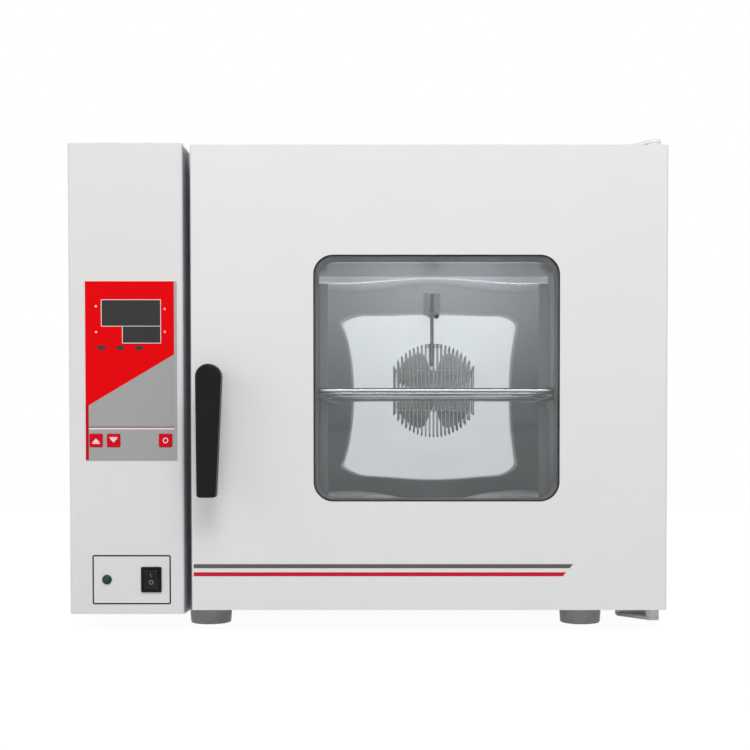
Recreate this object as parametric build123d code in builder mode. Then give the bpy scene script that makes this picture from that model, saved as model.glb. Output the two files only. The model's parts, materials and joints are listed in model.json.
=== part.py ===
"""Benchtop laboratory incubator: a glazed door on an insulated chamber, with a control box at its left.

Millimetres. +X is to the right as the user sees it, the front faces -Y and +Z is up. The origin is on
the floor, under the middle of the whole machine. Depths are counted back from the front of the door.
"""
import os
from math import cos, radians, sin, sqrt, tan

from build123d import *

os.makedirs("parts", exist_ok=True)

# Space left between the insulation and the cabinet's sides, top and back
latch_space = 16.3
right_space = 60.3
lower_space = 66.8
upper_space = 63.8
motor_rear_space = 22.8

# Sheet metal
shell_sheet = 1.5
door_sheet = 1.2
liner_sheet = 1.2
cabinet_fold = 3.0
control_fold = 4.5
door_fold = 3.0

# Clearances
running_gap = 0.3
drop_in_gap = 0.15
bearing_gap = 0.05

# Slot between the control box and the door
door_side_gap = 9.0

# Door
door_thickness = 46.0
door_gap = 4.0
door_bottom_gap = 5.0
door_top_gap = 2.0
door_insulation_inset = 42.0

# Window
window_inset = 25.0
window_corner = 24.0
window_border = 2.5
glass_thickness = 4.0
glass_lap = 15.0

# Chamber
chamber_width = 350.0
chamber_depth = 350.0
chamber_height = 350.0
liner_flange = 22.0
back_panel_sheet = 1.0
insulation_thickness = 45.0

# Door gasket, on the liner's flange
gasket_inset = 5.0
gasket_width = 12.0
gasket_inner_corner = 3.0
gasket_bevel = 0.8

# Base pan, feet and their places
base_flange = 18.0
foot_height = 22.0
foot_top_radius = 27.0
foot_bottom_radius = 25.5
foot_edge = 2.0
foot_recess_radius = 9.0
foot_recess_depth = 14.0
foot_front_depth = 90.0
foot_rear_inset = 50.0
foot_left_inset = 18.3
foot_right_inset = 95.0
foot_screw_radius = 3.0

# Rack strips, shelf ledges and the wire shelf
rack_sheet = 1.2
rack_wall_width = 16.0
rack_face_width = 14.0
rack_end_gap = 12.0
rack_front_depth = 72.0
rack_slot_length = 40.0
rack_slot_width = 8.0
rack_slot_pitch = 62.0
rack_slot_first = 46.0
ledge_sheet = 1.2
ledge_width = 18.0
ledge_height = 14.0
shelf_slot_drop = 4.0
shelf_side_gap = 5.0
shelf_front_depth = 66.0
shelf_back_gap = 3.0
shelf_corner = 14.0
rim_radius = 3.0
grid_radius = 1.5
grid_pitch = 27.0
grid_set_in = 0.4
cross_bar_radius = 2.0
cross_bar_inset = 85.0

# Floor plate and the heater tube under it
floor_plate_rise = 10.0
floor_plate_sheet = 1.0
floor_plate_gap = 2.0
floor_hole_radius = 8.0
floor_hole_pitch = 60.0
floor_hole_edge = 30.0
heater_radius = 3.25
heater_side_inset = 65.0
heater_side_bridge = 12.0
heater_middle_bridge = 16.0
heater_front_inset = 50.0
heater_turn_inset = 70.0
heater_tail = 12.0

# Fan, its wire guard and its motor
guard_radius = 70.0
guard_reach = 25.0
guard_wire_radius = 1.1
guard_pitch = 6.0
guard_side_gap = 8.0
guard_bend = 5.0
guard_brace_height = 30.0
guard_top_brace = 24.0
guard_tip_gap = 8.0
impeller_sheet = 1.2
impeller_back_gap = 4.5
blade_count = 4
blade_set_in = 7.7
blade_spread = 31.0
blade_root_half = 9.0
blade_corner = 12.0
blade_tilt = 14.0
blade_first_turn = 45.0
hub_radius = 10.0
hub_length = 12.0
shaft_radius = 4.0
shaft_hole_radius = 7.0
nut_across_flats = 13.0
nut_thickness = 4.0
motor_plate_size = 130.0
motor_bracket_sheet = 1.5
motor_post_radius = 4.0
motor_post_spread = 30.0
motor_post_length = 9.0
bearing_radius = 9.0
bearing_length = 7.0
core_width = 78.0
core_above = 28.0
core_below = 58.0
core_stack = 30.0
core_leg = 18.0
core_side_leg = 10.8
core_bridge = 9.0
rotor_radius = 18.0
rotor_air_gap = 0.4
coil_build = 9.0
coil_end_gap = 2.0

# Temperature probe and its bracket
probe_radius = 2.5
probe_tip_edge = 2.0
probe_length = 104.0
probe_stand_off = 34.0
probe_top_gap = 32.0
probe_shift = -2.5
bracket_width = 25.0
bracket_height = 34.0
bracket_sheet = 1.2
bracket_arm_drop = 60.0
bracket_arm_width = 14.0

# Hinges
pin_inset = 14.5
pin_depth = 17.5
pin_radius = 4.0
pin_length = 14.0
hinge_plate = 4.0
hinge_tip_radius = 8.0
hinge_base_width = 46.0
hinge_base_depth = 18.0
hinge_base_start = 52.0
hinge_riser_low = 5.0
hinge_riser_high = 3.0
bush_wall = 2.5
bush_flange = 4.0
hinge_screw_spacing = 22.0
hinge_screw_radius = 2.5

# Handle, spindle and latch
handle_reach = 42.0
handle_inset = 27.5
handle_length = 144.0
handle_top_radius = 15.5
handle_bottom_half = 11.5
handle_grip_thickness = 17.0
handle_edge = 3.5
handle_corner = 4.0
handle_skew = 2.9
handle_boss_radius = 9.0
handle_base_radius = 10.0
handle_base_thickness = 4.0
handle_base_edge = 1.3
spindle_radius = 6.0
spindle_grip = 12.0
tongue_thickness = 6.0
tongue_half_width = 7.0
tongue_length = 30.0
keeper_sheet = 2.0
keeper_width = 24.0
keeper_half_height = 28.0
latch_slot_half_width = 10.5
latch_slot_margin = 5.0

# Front of the control box: an overlay, and on it the displays and lamps, counted from its own edges
overlay_width = 112.0
overlay_height = 218.0
overlay_sheet = 0.8
overlay_left_margin = 20.3
overlay_right_margin = 7.7
overlay_rise = 188.4
upper_display_width = 71.0
upper_display_height = 31.0
lower_display_width = 45.5
lower_display_height = 19.5
display_right_margin = 19.9
upper_display_drop = 39.1
display_step = 1.0
lens_sheet = 1.6
lens_recess = 0.2
led_width = 10.0
led_height = 5.4
led_first = 20.8
led_pitch = 22.7
led_count = 3
led_drop = 81.2
led_length = 6.0

# Push buttons, counted from the overlay's left, right and lower edges
button_size = 15.9
button_corner = 1.5
button_proud = 0.6
button_travel = 0.5
button_lip = 1.2
button_lip_sheet = 1.2
button_first = 13.3
button_pitch = 21.4
set_button_margin = 14.0
button_rise = 23.9

# Pilot lamp and mains rocker, counted from the overlay's left and right edges and the box's underside
power_rise = 42.4
lamp_inset = 25.4
rocker_inset = 32.3
lamp_radius = 5.85
lamp_dome = 3.0
lamp_shoulder = 0.75
lamp_body_radius = 4.8
lamp_body_length = 16.0
rocker_flange_width = 25.0
rocker_flange_height = 31.0
rocker_flange_sheet = 2.0
rocker_bevel = 0.7
rocker_wall = 1.5
rocker_body_depth = 18.0
paddle_radius = 12.3
paddle_width = 17.4
paddle_valley = 2.0
paddle_lean = 12.0
paddle_back = 7.0
paddle_pin_radius = 1.25
paddle_pin_length = 1.2

# Inside and behind the control box
board_depth = 9.0
board_sheet = 1.6
board_margin = 6.0
board_post_radius = 3.0
board_post_inset = 3.6
display_module_depth = 2.0
switch_size = 6.0
equipment_plate_gap = 8.0
equipment_plate_depth = 260.0
equipment_plate_height = 330.0
equipment_plate_rise = 60.0
equipment_post_inset = 20.0
equipment_post_radius = 5.0
transformer_width = 56.0
transformer_height = 62.0
transformer_stack = 34.0
transformer_coil = 11.0
transformer_rise = 62.0
relay_width = 45.0
relay_height = 58.0
relay_body = 24.0
sink_fin_count = 7
sink_fin_sheet = 2.0
sink_base = 5.0
sink_fin_height = 16.0
relay_rise = 220.0
inlet_width = 31.0
inlet_height = 54.0
inlet_flange = 3.0
inlet_corner = 3.0
inlet_body_width = 27.5
inlet_body_height = 47.0
inlet_body_depth = 28.0
inlet_rise = 62.0
socket_width = 24.0
socket_height = 16.6
socket_depth = 17.0
socket_shift = 11.0
socket_corner = 4.0
contact_width = 2.0
contact_height = 4.0
contact_length = 13.0
contact_spacing = 7.0
fuse_drawer_width = 20.0
fuse_drawer_height = 14.0
fuse_drawer_shift = -13.0
fuse_drawer_recess = 1.0
wire_hole_radius = 14.0
wire_hole_inset = 50.0
wire_hole_rise = 120.0

# Ventilation slots and the screws of the two rear covers
vent_length = 46.0
vent_width = 5.0
vent_pitch = 12.0
vent_rows = 9
vent_column_pitch = 62.0
control_vent_rows = 5
screw_radius = 2.0
screw_head_radius = 4.0
screw_head_height = 2.2
screw_inset = 12.0
screw_length = 8.0

# Depths from the door's front, through the chamber and the fan motor to the rear face
face_depth = door_thickness + door_gap
frame_back = face_depth + shell_sheet
chamber_back = face_depth + chamber_depth
back_panel_face = chamber_back - back_panel_sheet
liner_back = chamber_back + liner_sheet
insulation_back = liner_back + insulation_thickness
core_front = insulation_back + motor_bracket_sheet + motor_post_length
core_back = core_front + core_stack
rear_bracket_front = core_back + motor_post_length
rear_bracket_back = rear_bracket_front + motor_bracket_sheet
body_depth = rear_bracket_back + motor_rear_space
rear_panel_face = body_depth - shell_sheet

# Walls round the chamber; the left one also takes the latch
lined_wall = liner_sheet + insulation_thickness
latch_width = handle_inset + latch_slot_half_width + keeper_width + latch_space
left_wall = door_side_gap + latch_width + lined_wall
right_wall = lined_wall + right_space
lower_wall = lower_space + lined_wall
upper_wall = lined_wall + upper_space

# Outer faces
control_width = overlay_left_margin + overlay_width + overlay_right_margin
overall_width = control_width + left_wall + chamber_width + right_wall
x_left = -overall_width / 2
x_right = overall_width / 2
cabinet_left = x_left + control_width
door_left = cabinet_left + door_side_gap
body_bottom = foot_height
body_top = body_bottom + lower_wall + chamber_height + upper_wall
front_y = handle_reach - (handle_reach + body_depth + inlet_flange) / 2
door_bottom = body_bottom + door_bottom_gap
door_top = body_top - door_top_gap

# Chamber
chamber_left = cabinet_left + left_wall
chamber_right = chamber_left + chamber_width
chamber_x = (chamber_left + chamber_right) / 2
chamber_floor = body_bottom + lower_wall
chamber_ceiling = chamber_floor + chamber_height
chamber_z = (chamber_floor + chamber_ceiling) / 2

# Hinge pin, handle pivot and control box
pin_x = x_right - pin_inset
pivot_x = door_left + handle_inset
pivot_z = chamber_z
control_x = (x_left + cabinet_left) / 2


def middle(span):
    """Middle of a span, given as its two ends."""
    return (span[0] + span[1]) / 2


def length(span):
    """Length of a span."""
    return span[1] - span[0]


def grown(span, amount):
    """The same span with both ends moved out."""
    return (span[0] - amount, span[1] + amount)


def about(centre, size):
    """Span of a size about its middle."""
    return (centre - size / 2, centre + size / 2)


def facing(depth):
    """Upright plane that faces the user at a depth: its x is +X, its y is +Z and it looks to the front."""
    return Plane.XZ.offset(-(front_y + depth))


def level(height):
    """Level plane at a height: its x is +X, its y is +Y and it looks up."""
    return Plane.XY.offset(height)


def pane(across, up, corner=0.0, mode=Mode.ADD):
    """Rectangle in the sketch being drawn, from its span across and its span up."""
    with Locations((middle(across), middle(up))):
        if corner > 0:
            RectangleRounded(length(across), length(up), corner, mode=mode)
        else:
            Rectangle(length(across), length(up), mode=mode)


def save(piece, name):
    """Label a finished piece and write its file."""
    piece.part.label = name
    export_step(piece.part, f"parts/{name}.step")


cabinet_across = (cabinet_left, x_right)
cabinet_up = (body_bottom, body_top)
inner_across = grown(cabinet_across, -shell_sheet)
chamber_across = (chamber_left, chamber_right)
chamber_up = (chamber_floor, chamber_ceiling)
liner_across = grown(chamber_across, liner_sheet)
liner_up = grown(chamber_up, liner_sheet)
control_across = (x_left, cabinet_left)
door_across = (door_left, x_right)
door_up = (door_bottom, door_top)
window_across = grown(chamber_across, -window_inset)
window_up = grown(chamber_up, -window_inset)

# Cabinet shell: one sheet folded over the top and down both sides
with BuildPart() as cabinet_shell:
    with BuildSketch(facing(body_depth)):
        pane(cabinet_across, cabinet_up)
    extrude(amount=body_depth - face_depth)
    fillet(cabinet_shell.edges().filter_by(Axis.Y).group_by(Axis.Z)[-1], cabinet_fold)
    cabinet_ends = cabinet_shell.faces().filter_by(Axis.Y)
    cabinet_underside = cabinet_shell.faces().filter_by(Axis.Z).sort_by(Axis.Z)[0]
    offset(amount=-shell_sheet, openings=[*cabinet_ends, cabinet_underside], kind=Kind.INTERSECTION)
    with BuildSketch(Plane.YZ.offset(cabinet_left)):
        with Locations((front_y + body_depth - wire_hole_inset, body_bottom + wire_hole_rise)):
            Circle(wire_hole_radius)
    extrude(amount=shell_sheet, mode=Mode.SUBTRACT)
save(cabinet_shell, "cabinet_shell")

# Places of the four feet and of the two hinge screws, which the base pan is drilled for
foot_places = {
    "front_left_foot": (cabinet_left + foot_left_inset, foot_front_depth),
    "front_right_foot": (x_right - foot_right_inset, foot_front_depth),
    "rear_left_foot": (cabinet_left + foot_left_inset, body_depth - foot_rear_inset),
    "rear_right_foot": (x_right - foot_right_inset, body_depth - foot_rear_inset),
}
hinge_base_right = pin_x + hinge_tip_radius
hinge_base_x = hinge_base_right - hinge_base_width / 2
hinge_screw_depth = hinge_base_start + hinge_base_depth / 2

# Screws of the rear panel, three down each side, and of the control box's rear cover, at its corners
panel_screw_places = [
    (x, z)
    for x in grown(inner_across, -screw_inset)
    for z in (body_bottom + screw_inset, (body_bottom + body_top) / 2, body_top - screw_inset)
]
cover_across = grown(control_across, -shell_sheet)
cover_up = grown(cabinet_up, -shell_sheet)
cover_screw_places = [
    (x, z) for x in grown(cover_across, -screw_inset) for z in grown(cover_up, -screw_inset)
]

# Base pan: a tray with its edges folded up, inside the shell and behind the front frame
with BuildPart() as base_pan:
    pan_along = (front_y + frame_back, front_y + rear_panel_face)
    with BuildSketch(level(body_bottom)):
        pane(inner_across, pan_along)
    extrude(amount=base_flange)
    pan_mouth = base_pan.faces().sort_by(Axis.Z)[-1]
    offset(amount=-shell_sheet, openings=pan_mouth, kind=Kind.INTERSECTION)
    with BuildSketch(level(body_bottom)):
        for foot_x, foot_depth in foot_places.values():
            with Locations((foot_x, front_y + foot_depth)):
                Circle(foot_screw_radius)
        with Locations((hinge_base_x, front_y + hinge_screw_depth)):
            with GridLocations(hinge_screw_spacing, 1, 2, 1):
                Circle(hinge_screw_radius)
    extrude(amount=shell_sheet, mode=Mode.SUBTRACT)
    with BuildSketch(facing(rear_panel_face)):
        for screw_x in grown(inner_across, -screw_inset):
            with Locations((screw_x, body_bottom + screw_inset)):
                Circle(screw_radius)
    extrude(amount=shell_sheet, mode=Mode.SUBTRACT)
save(base_pan, "base_pan")

inner_fold = cabinet_fold - shell_sheet


def closing_plate(sketch):
    """Outline of a plate that closes one end of the cabinet shell, in the sketch being drawn."""
    pane(inner_across, front_frame_up)
    fillet(sketch.vertices().group_by(Axis.Y)[-1], inner_fold)


# Front frame: the plate round the chamber's mouth, with the slot that the latch tongue enters
front_frame_up = (body_bottom, body_top - shell_sheet)
latch_slot_up = (pivot_z - tongue_length - latch_slot_margin, pivot_z + spindle_radius + latch_slot_margin)
latch_slot_across = about(pivot_x, 2 * latch_slot_half_width)
with BuildPart() as front_frame:
    with BuildSketch(facing(frame_back)) as frame_outline:
        closing_plate(frame_outline)
        pane(liner_across, liner_up, mode=Mode.SUBTRACT)
        pane(latch_slot_across, latch_slot_up, shell_sheet, mode=Mode.SUBTRACT)
    extrude(amount=shell_sheet)
save(front_frame, "front_frame")

# Latch keeper: the thicker plate behind the frame that the tongue turns behind
with BuildPart() as latch_keeper:
    with BuildSketch(facing(frame_back + keeper_sheet)):
        keeper_left = latch_slot_across[1]
        pane((keeper_left, keeper_left + keeper_width), about(pivot_z, 2 * keeper_half_height))
    extrude(amount=keeper_sheet)
    chamfer(latch_keeper.edges().filter_by(Axis.Y), keeper_sheet)
save(latch_keeper, "latch_keeper")

# Rear panel: vented where the fan motor stands
with BuildPart() as rear_panel:
    with BuildSketch(facing(body_depth)) as panel_outline:
        closing_plate(panel_outline)
        with Locations(*panel_screw_places):
            Circle(screw_radius, mode=Mode.SUBTRACT)
        with Locations((chamber_x, chamber_z)):
            with GridLocations(vent_column_pitch, vent_pitch, 2, vent_rows):
                SlotOverall(vent_length, vent_width, mode=Mode.SUBTRACT)
    extrude(amount=shell_sheet)
save(rear_panel, "rear_panel")

# Heater tails pass through the back of the chamber at these places
heater_z = chamber_floor + (floor_plate_rise - floor_plate_sheet) / 2
heater_side = chamber_width / 2 - heater_side_inset
heater_tail_places = [(chamber_x - heater_side, heater_z), (chamber_x + heater_side, heater_z)]


def back_wall_holes():
    """Cut the fan shaft's hole and the two heater tails' holes in the sketch being drawn."""
    with Locations((chamber_x, chamber_z)):
        Circle(shaft_hole_radius, mode=Mode.SUBTRACT)
    with Locations(*heater_tail_places):
        Circle(heater_radius + running_gap, mode=Mode.SUBTRACT)


# Chamber liner: a five-sided stainless box with a flange that lies on the front frame
with BuildPart() as chamber_liner:
    with BuildSketch(facing(liner_back)):
        pane(liner_across, liner_up)
        back_wall_holes()
    extrude(amount=liner_sheet)
    with BuildSketch(facing(chamber_back)):
        pane(liner_across, liner_up)
        pane(chamber_across, chamber_up, mode=Mode.SUBTRACT)
    extrude(amount=chamber_depth)
    with BuildSketch(facing(face_depth)):
        pane(grown(chamber_across, liner_flange), grown(chamber_up, liner_flange))
        pane(chamber_across, chamber_up, mode=Mode.SUBTRACT)
    extrude(amount=liner_sheet)
save(chamber_liner, "chamber_liner")

# Polished panel on the back wall of the chamber
with BuildPart() as chamber_back_panel:
    with BuildSketch(facing(chamber_back)):
        pane(grown(chamber_across, -running_gap), grown(chamber_up, -running_gap))
        back_wall_holes()
    extrude(amount=back_panel_sheet)
save(chamber_back_panel, "chamber_back_panel")

# Mineral wool round the liner
with BuildPart() as insulation_jacket:
    with BuildSketch(facing(insulation_back)):
        pane(grown(liner_across, insulation_thickness), grown(liner_up, insulation_thickness))
    extrude(amount=insulation_back - frame_back)
    with BuildSketch(facing(liner_back)):
        pane(liner_across, liner_up)
    extrude(amount=liner_back - frame_back, mode=Mode.SUBTRACT)
    with BuildSketch(facing(insulation_back)):
        with Locations((chamber_x, chamber_z)):
            Circle(shaft_hole_radius)
        with Locations(*heater_tail_places):
            Circle(heater_radius + running_gap)
    extrude(amount=insulation_thickness, mode=Mode.SUBTRACT)
save(insulation_jacket, "insulation_jacket")

# Rack strips: flat ones near the mouth and angled ones in the rear corners, all slotted for the ledges
rack_up = grown(chamber_up, -rack_end_gap)
rack_slot_room = length(rack_up) + rack_end_gap - rack_slot_first - rack_slot_length / 2
rack_slot_count = int(rack_slot_room / rack_slot_pitch) + 1
slot_middle = chamber_floor + rack_slot_first + (rack_slot_count - 1) * rack_slot_pitch / 2
front_rack_along = (front_y + rack_front_depth, front_y + rack_front_depth + rack_wall_width)
rear_rack_along = (front_y + back_panel_face - rack_wall_width, front_y + back_panel_face)


def rack_slots(plane, amount):
    """Cut one column of slots through the strip being built, along the plane's normal."""
    with BuildSketch(plane) as slots:
        with GridLocations(1, rack_slot_pitch, 1, rack_slot_count):
            SlotOverall(rack_slot_length, rack_slot_width, rotation=90)
    extrude(slots.sketch, amount=amount, mode=Mode.SUBTRACT)


with BuildPart() as shelf_racks:
    for wall_x, inward in ((chamber_left, 1), (chamber_right, -1)):
        wall_leg = sorted((wall_x, wall_x + inward * rack_sheet))
        face_leg = sorted((wall_x, wall_x + inward * rack_face_width))
        with BuildSketch(level(rack_up[0])):
            pane(wall_leg, front_rack_along)
            pane(wall_leg, rear_rack_along)
            pane(face_leg, (rear_rack_along[1] - rack_sheet, rear_rack_along[1]))
        extrude(amount=length(rack_up))
        slot_x = wall_x + inward * (rack_sheet + rack_face_width) / 2
        face_plane = Plane.XZ.offset(-rear_rack_along[1])
        rack_slots(face_plane.move(Location((slot_x, 0, slot_middle))), rack_sheet)
        wall_plane = Plane.YZ.offset(wall_leg[0])
        rack_slots(wall_plane.move(Location((0, middle(front_rack_along), slot_middle))), rack_sheet)
save(shelf_racks, "shelf_racks")

# The fan guard's wires stand this far forward, and the shelf ends ahead of them
guard_front_y = front_y + back_panel_face - guard_reach

# Shelf ledges: folded runners between the front and rear strips, hooked into the middle slots
shelf_slot_rise = rack_slot_first + (rack_slot_count - 1) // 2 * rack_slot_pitch
shelf_z = chamber_floor + shelf_slot_rise - shelf_slot_drop
ledge_top = shelf_z - 2 * rim_radius - drop_in_gap
ledge_along = (front_rack_along[0], rear_rack_along[1] - rack_sheet)
with BuildPart() as shelf_ledges:
    for wall_x, inward in ((chamber_left, 1), (chamber_right, -1)):
        ledge_x = wall_x + inward * rack_sheet
        with BuildSketch(Plane.XZ.offset(-ledge_along[1])):
            pane(sorted((ledge_x, ledge_x + inward * ledge_sheet)), (ledge_top - ledge_height, ledge_top))
            pane(sorted((ledge_x, ledge_x + inward * ledge_width)), (ledge_top - ledge_sheet, ledge_top))
        extrude(amount=length(ledge_along))
save(shelf_ledges, "shelf_ledges")

# Wire shelf: a round rim, a grid of wires from front to back and two cross bars under the grid
shelf_across = grown(chamber_across, -shelf_side_gap - rim_radius)
shelf_along = (
    front_y + shelf_front_depth + rim_radius,
    guard_front_y - guard_wire_radius - shelf_back_gap - rim_radius,
)
rim_z = shelf_z - rim_radius
grid_z = shelf_z - grid_radius - grid_set_in
grid_count = 2 * int((length(shelf_across) / 2 - shelf_corner) / grid_pitch) + 1
cross_bar_z = shelf_z - 2 * rim_radius + cross_bar_radius + grid_set_in
with BuildPart() as wire_shelf:
    with BuildLine(level(rim_z)) as rim_line:
        Polyline(
            (shelf_across[0], middle(shelf_along)),
            (shelf_across[0], shelf_along[0]),
            (shelf_across[1], shelf_along[0]),
            (shelf_across[1], shelf_along[1]),
            (shelf_across[0], shelf_along[1]),
            (shelf_across[0], middle(shelf_along)),
        )
        by_depth = rim_line.vertices().sort_by(Axis.Y)
        fillet(by_depth[:2] + by_depth[-2:], shelf_corner)
    with BuildSketch(Plane.XZ.offset(-middle(shelf_along))):
        with Locations((shelf_across[0], rim_z)):
            Circle(rim_radius)
    sweep()
    with BuildSketch(Plane.XZ.offset(-shelf_along[1])):
        with Locations((middle(shelf_across), grid_z)):
            with GridLocations(grid_pitch, 1, grid_count, 1):
                Circle(grid_radius)
    extrude(amount=length(shelf_along))
    with BuildSketch(Plane.YZ.offset(shelf_across[0])):
        with Locations((middle(shelf_along), cross_bar_z)):
            with GridLocations(length(shelf_along) - 2 * cross_bar_inset, 1, 2, 1):
                Circle(cross_bar_radius)
    extrude(amount=length(shelf_across))
save(wire_shelf, "wire_shelf")

# Perforated floor plate, folded down at both sides to stand on the chamber's floor
floor_across = grown(chamber_across, -rack_face_width - floor_plate_gap)
floor_along = (front_y + face_depth + floor_plate_gap, front_y + back_panel_face - floor_plate_gap)
floor_plate_top = chamber_floor + floor_plate_rise


def hole_count(span):
    """How many holes of the floor plate's grid fit in a span, an odd number with one in the middle."""
    return 2 * int((length(span) / 2 - floor_hole_edge) / floor_hole_pitch) + 1


with BuildPart() as floor_plate:
    with BuildSketch(Plane.XZ.offset(-floor_along[1])):
        pane(floor_across, (chamber_floor, floor_plate_top))
        inside = grown(floor_across, -floor_plate_sheet)
        pane(inside, (chamber_floor, floor_plate_top - floor_plate_sheet), mode=Mode.SUBTRACT)
    extrude(amount=length(floor_along))
    with BuildSketch(level(floor_plate_top)):
        with Locations((middle(floor_across), middle(floor_along))):
            pitch = floor_hole_pitch
            with GridLocations(pitch, pitch, hole_count(floor_across), hole_count(floor_along)):
                Circle(floor_hole_radius)
    extrude(amount=-floor_plate_sheet, mode=Mode.SUBTRACT)
save(floor_plate, "floor_plate")

# Heater: one bent tube under the floor plate, with both tails out through the back wall
heater_front_y = front_y + face_depth + heater_front_inset
heater_turn_y = front_y + chamber_back - heater_turn_inset
heater_end_y = front_y + insulation_back + heater_tail
heater_bend = (2 * heater_side - 2 * heater_side_bridge - heater_middle_bridge) / 6
heater_inner = heater_middle_bridge / 2 + heater_bend
with BuildPart() as heater_tube:
    with BuildLine(level(heater_z)):
        FilletPolyline(
            (chamber_x - heater_side, heater_end_y),
            (chamber_x - heater_side, heater_front_y),
            (chamber_x - heater_inner, heater_front_y),
            (chamber_x - heater_inner, heater_turn_y),
            (chamber_x + heater_inner, heater_turn_y),
            (chamber_x + heater_inner, heater_front_y),
            (chamber_x + heater_side, heater_front_y),
            (chamber_x + heater_side, heater_end_y),
            radius=heater_bend,
        )
    with BuildSketch(Plane.XZ.offset(-heater_end_y)):
        with Locations((chamber_x - heater_side, heater_z)):
            Circle(heater_radius)
    sweep()
save(heater_tube, "heater_tube")

# Fan guard: upright wires whose tops and bottoms lie on a circle, each bent back to the wall
guard_wall_y = front_y + back_panel_face
guard_wires_each_side = int((guard_radius - guard_side_gap) / guard_pitch)
brace_y = guard_front_y + 2 * guard_wire_radius - guard_wire_radius / 2
with BuildPart() as fan_guard:
    for step in range(-guard_wires_each_side, guard_wires_each_side + 1):
        wire_x = chamber_x + step * guard_pitch
        half_chord = sqrt(guard_radius**2 - (step * guard_pitch) ** 2)
        with BuildLine(Plane.YZ.offset(wire_x)):
            FilletPolyline(
                (guard_wall_y, chamber_z + half_chord),
                (guard_front_y, chamber_z + half_chord),
                (guard_front_y, chamber_z - half_chord),
                (guard_wall_y, chamber_z - half_chord),
                radius=guard_bend,
            )
        with BuildSketch(Plane.XZ.offset(-guard_wall_y)):
            with Locations((wire_x, chamber_z + half_chord)):
                Circle(guard_wire_radius)
        sweep()
    brace_half = guard_wires_each_side * guard_pitch + guard_wire_radius
    with BuildSketch(Plane.YZ.offset(chamber_x - brace_half)):
        with Locations((brace_y, chamber_z)):
            with GridLocations(1, 2 * guard_brace_height, 1, 2):
                Circle(guard_wire_radius)
    extrude(amount=2 * brace_half)
    with BuildSketch(Plane.YZ.offset(chamber_x - guard_top_brace / 2)):
        with Locations((brace_y, chamber_z + guard_radius - 1.5 * guard_wire_radius)):
            Circle(guard_wire_radius)
    extrude(amount=guard_top_brace)
save(fan_guard, "fan_guard")

# Impeller: broad tilted blades on a hub that sits on the motor's shaft
impeller_radius = guard_radius - guard_tip_gap
impeller_back = back_panel_face - impeller_back_gap
hub_face = impeller_back - hub_length
blade_centre = (chamber_x, front_y + impeller_back - blade_set_in, chamber_z)
tip_x = impeller_radius * cos(radians(blade_spread))
tip_y = impeller_radius * sin(radians(blade_spread))
with BuildPart() as impeller:
    with BuildSketch(facing(impeller_back)):
        with Locations((chamber_x, chamber_z)):
            Circle(hub_radius)
    extrude(amount=hub_length)
    chamfer(impeller.edges().sort_by(Axis.Y)[0], impeller_sheet)
    for step in range(blade_count):
        turn = radians(blade_first_turn + step * 360 / blade_count)
        outward = Vector(cos(turn), 0, sin(turn))
        around = Vector(-sin(turn), 0, cos(turn))
        blade_normal = Vector(0, -cos(radians(blade_tilt)), 0) + around * sin(radians(blade_tilt))
        with BuildSketch(Plane(origin=blade_centre, x_dir=outward, z_dir=blade_normal)) as blade:
            with BuildLine():
                Polyline((tip_x, tip_y), (0, blade_root_half), (0, -blade_root_half), (tip_x, -tip_y))
                ThreePointArc((tip_x, -tip_y), (impeller_radius, 0), (tip_x, tip_y))
            make_face()
            fillet(blade.vertices().sort_by(Axis.X)[-2:], blade_corner)
        extrude(amount=impeller_sheet / 2, both=True)
    with BuildSketch(facing(impeller_back)):
        with Locations((chamber_x, chamber_z)):
            Circle(shaft_radius)
    extrude(amount=hub_length, mode=Mode.SUBTRACT)
save(impeller, "impeller")

# Nut that holds the impeller on its shaft
with BuildPart() as impeller_nut:
    with BuildSketch(facing(hub_face)):
        with Locations((chamber_x, chamber_z)):
            RegularPolygon(nut_across_flats / 2, 6, major_radius=False)
            Circle(shaft_radius, mode=Mode.SUBTRACT)
    extrude(amount=nut_thickness)
save(impeller_nut, "impeller_nut")

# Motor: a shaded-pole core between two bearing brackets, hung on a plate behind the insulation
core_across = about(chamber_x, core_width)
core_up = (chamber_z - core_below, chamber_z + core_above)
leg_across = about(chamber_x, core_leg)
leg_up = (core_up[0] + core_leg, chamber_z - rotor_radius - core_bridge)
with BuildPart() as motor_core:
    with BuildSketch(facing(core_back)):
        pane(core_across, core_up)
        with Locations((chamber_x, chamber_z)):
            Circle(rotor_radius + rotor_air_gap, mode=Mode.SUBTRACT)
        pane(grown(core_across, -core_side_leg), leg_up, mode=Mode.SUBTRACT)
        pane(leg_across, leg_up)
    extrude(amount=core_stack)
save(motor_core, "motor_core")

# Winding round the core's middle leg
with BuildPart() as motor_coil:
    with BuildSketch(level(leg_up[0] + coil_end_gap / 4)):
        coil_along = (front_y + core_front, front_y + core_back)
        pane(grown(leg_across, coil_build), grown(coil_along, coil_build), coil_build / 2)
        pane(leg_across, coil_along, mode=Mode.SUBTRACT)
    extrude(amount=length(leg_up) - coil_end_gap / 2)
save(motor_coil, "motor_coil")

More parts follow.
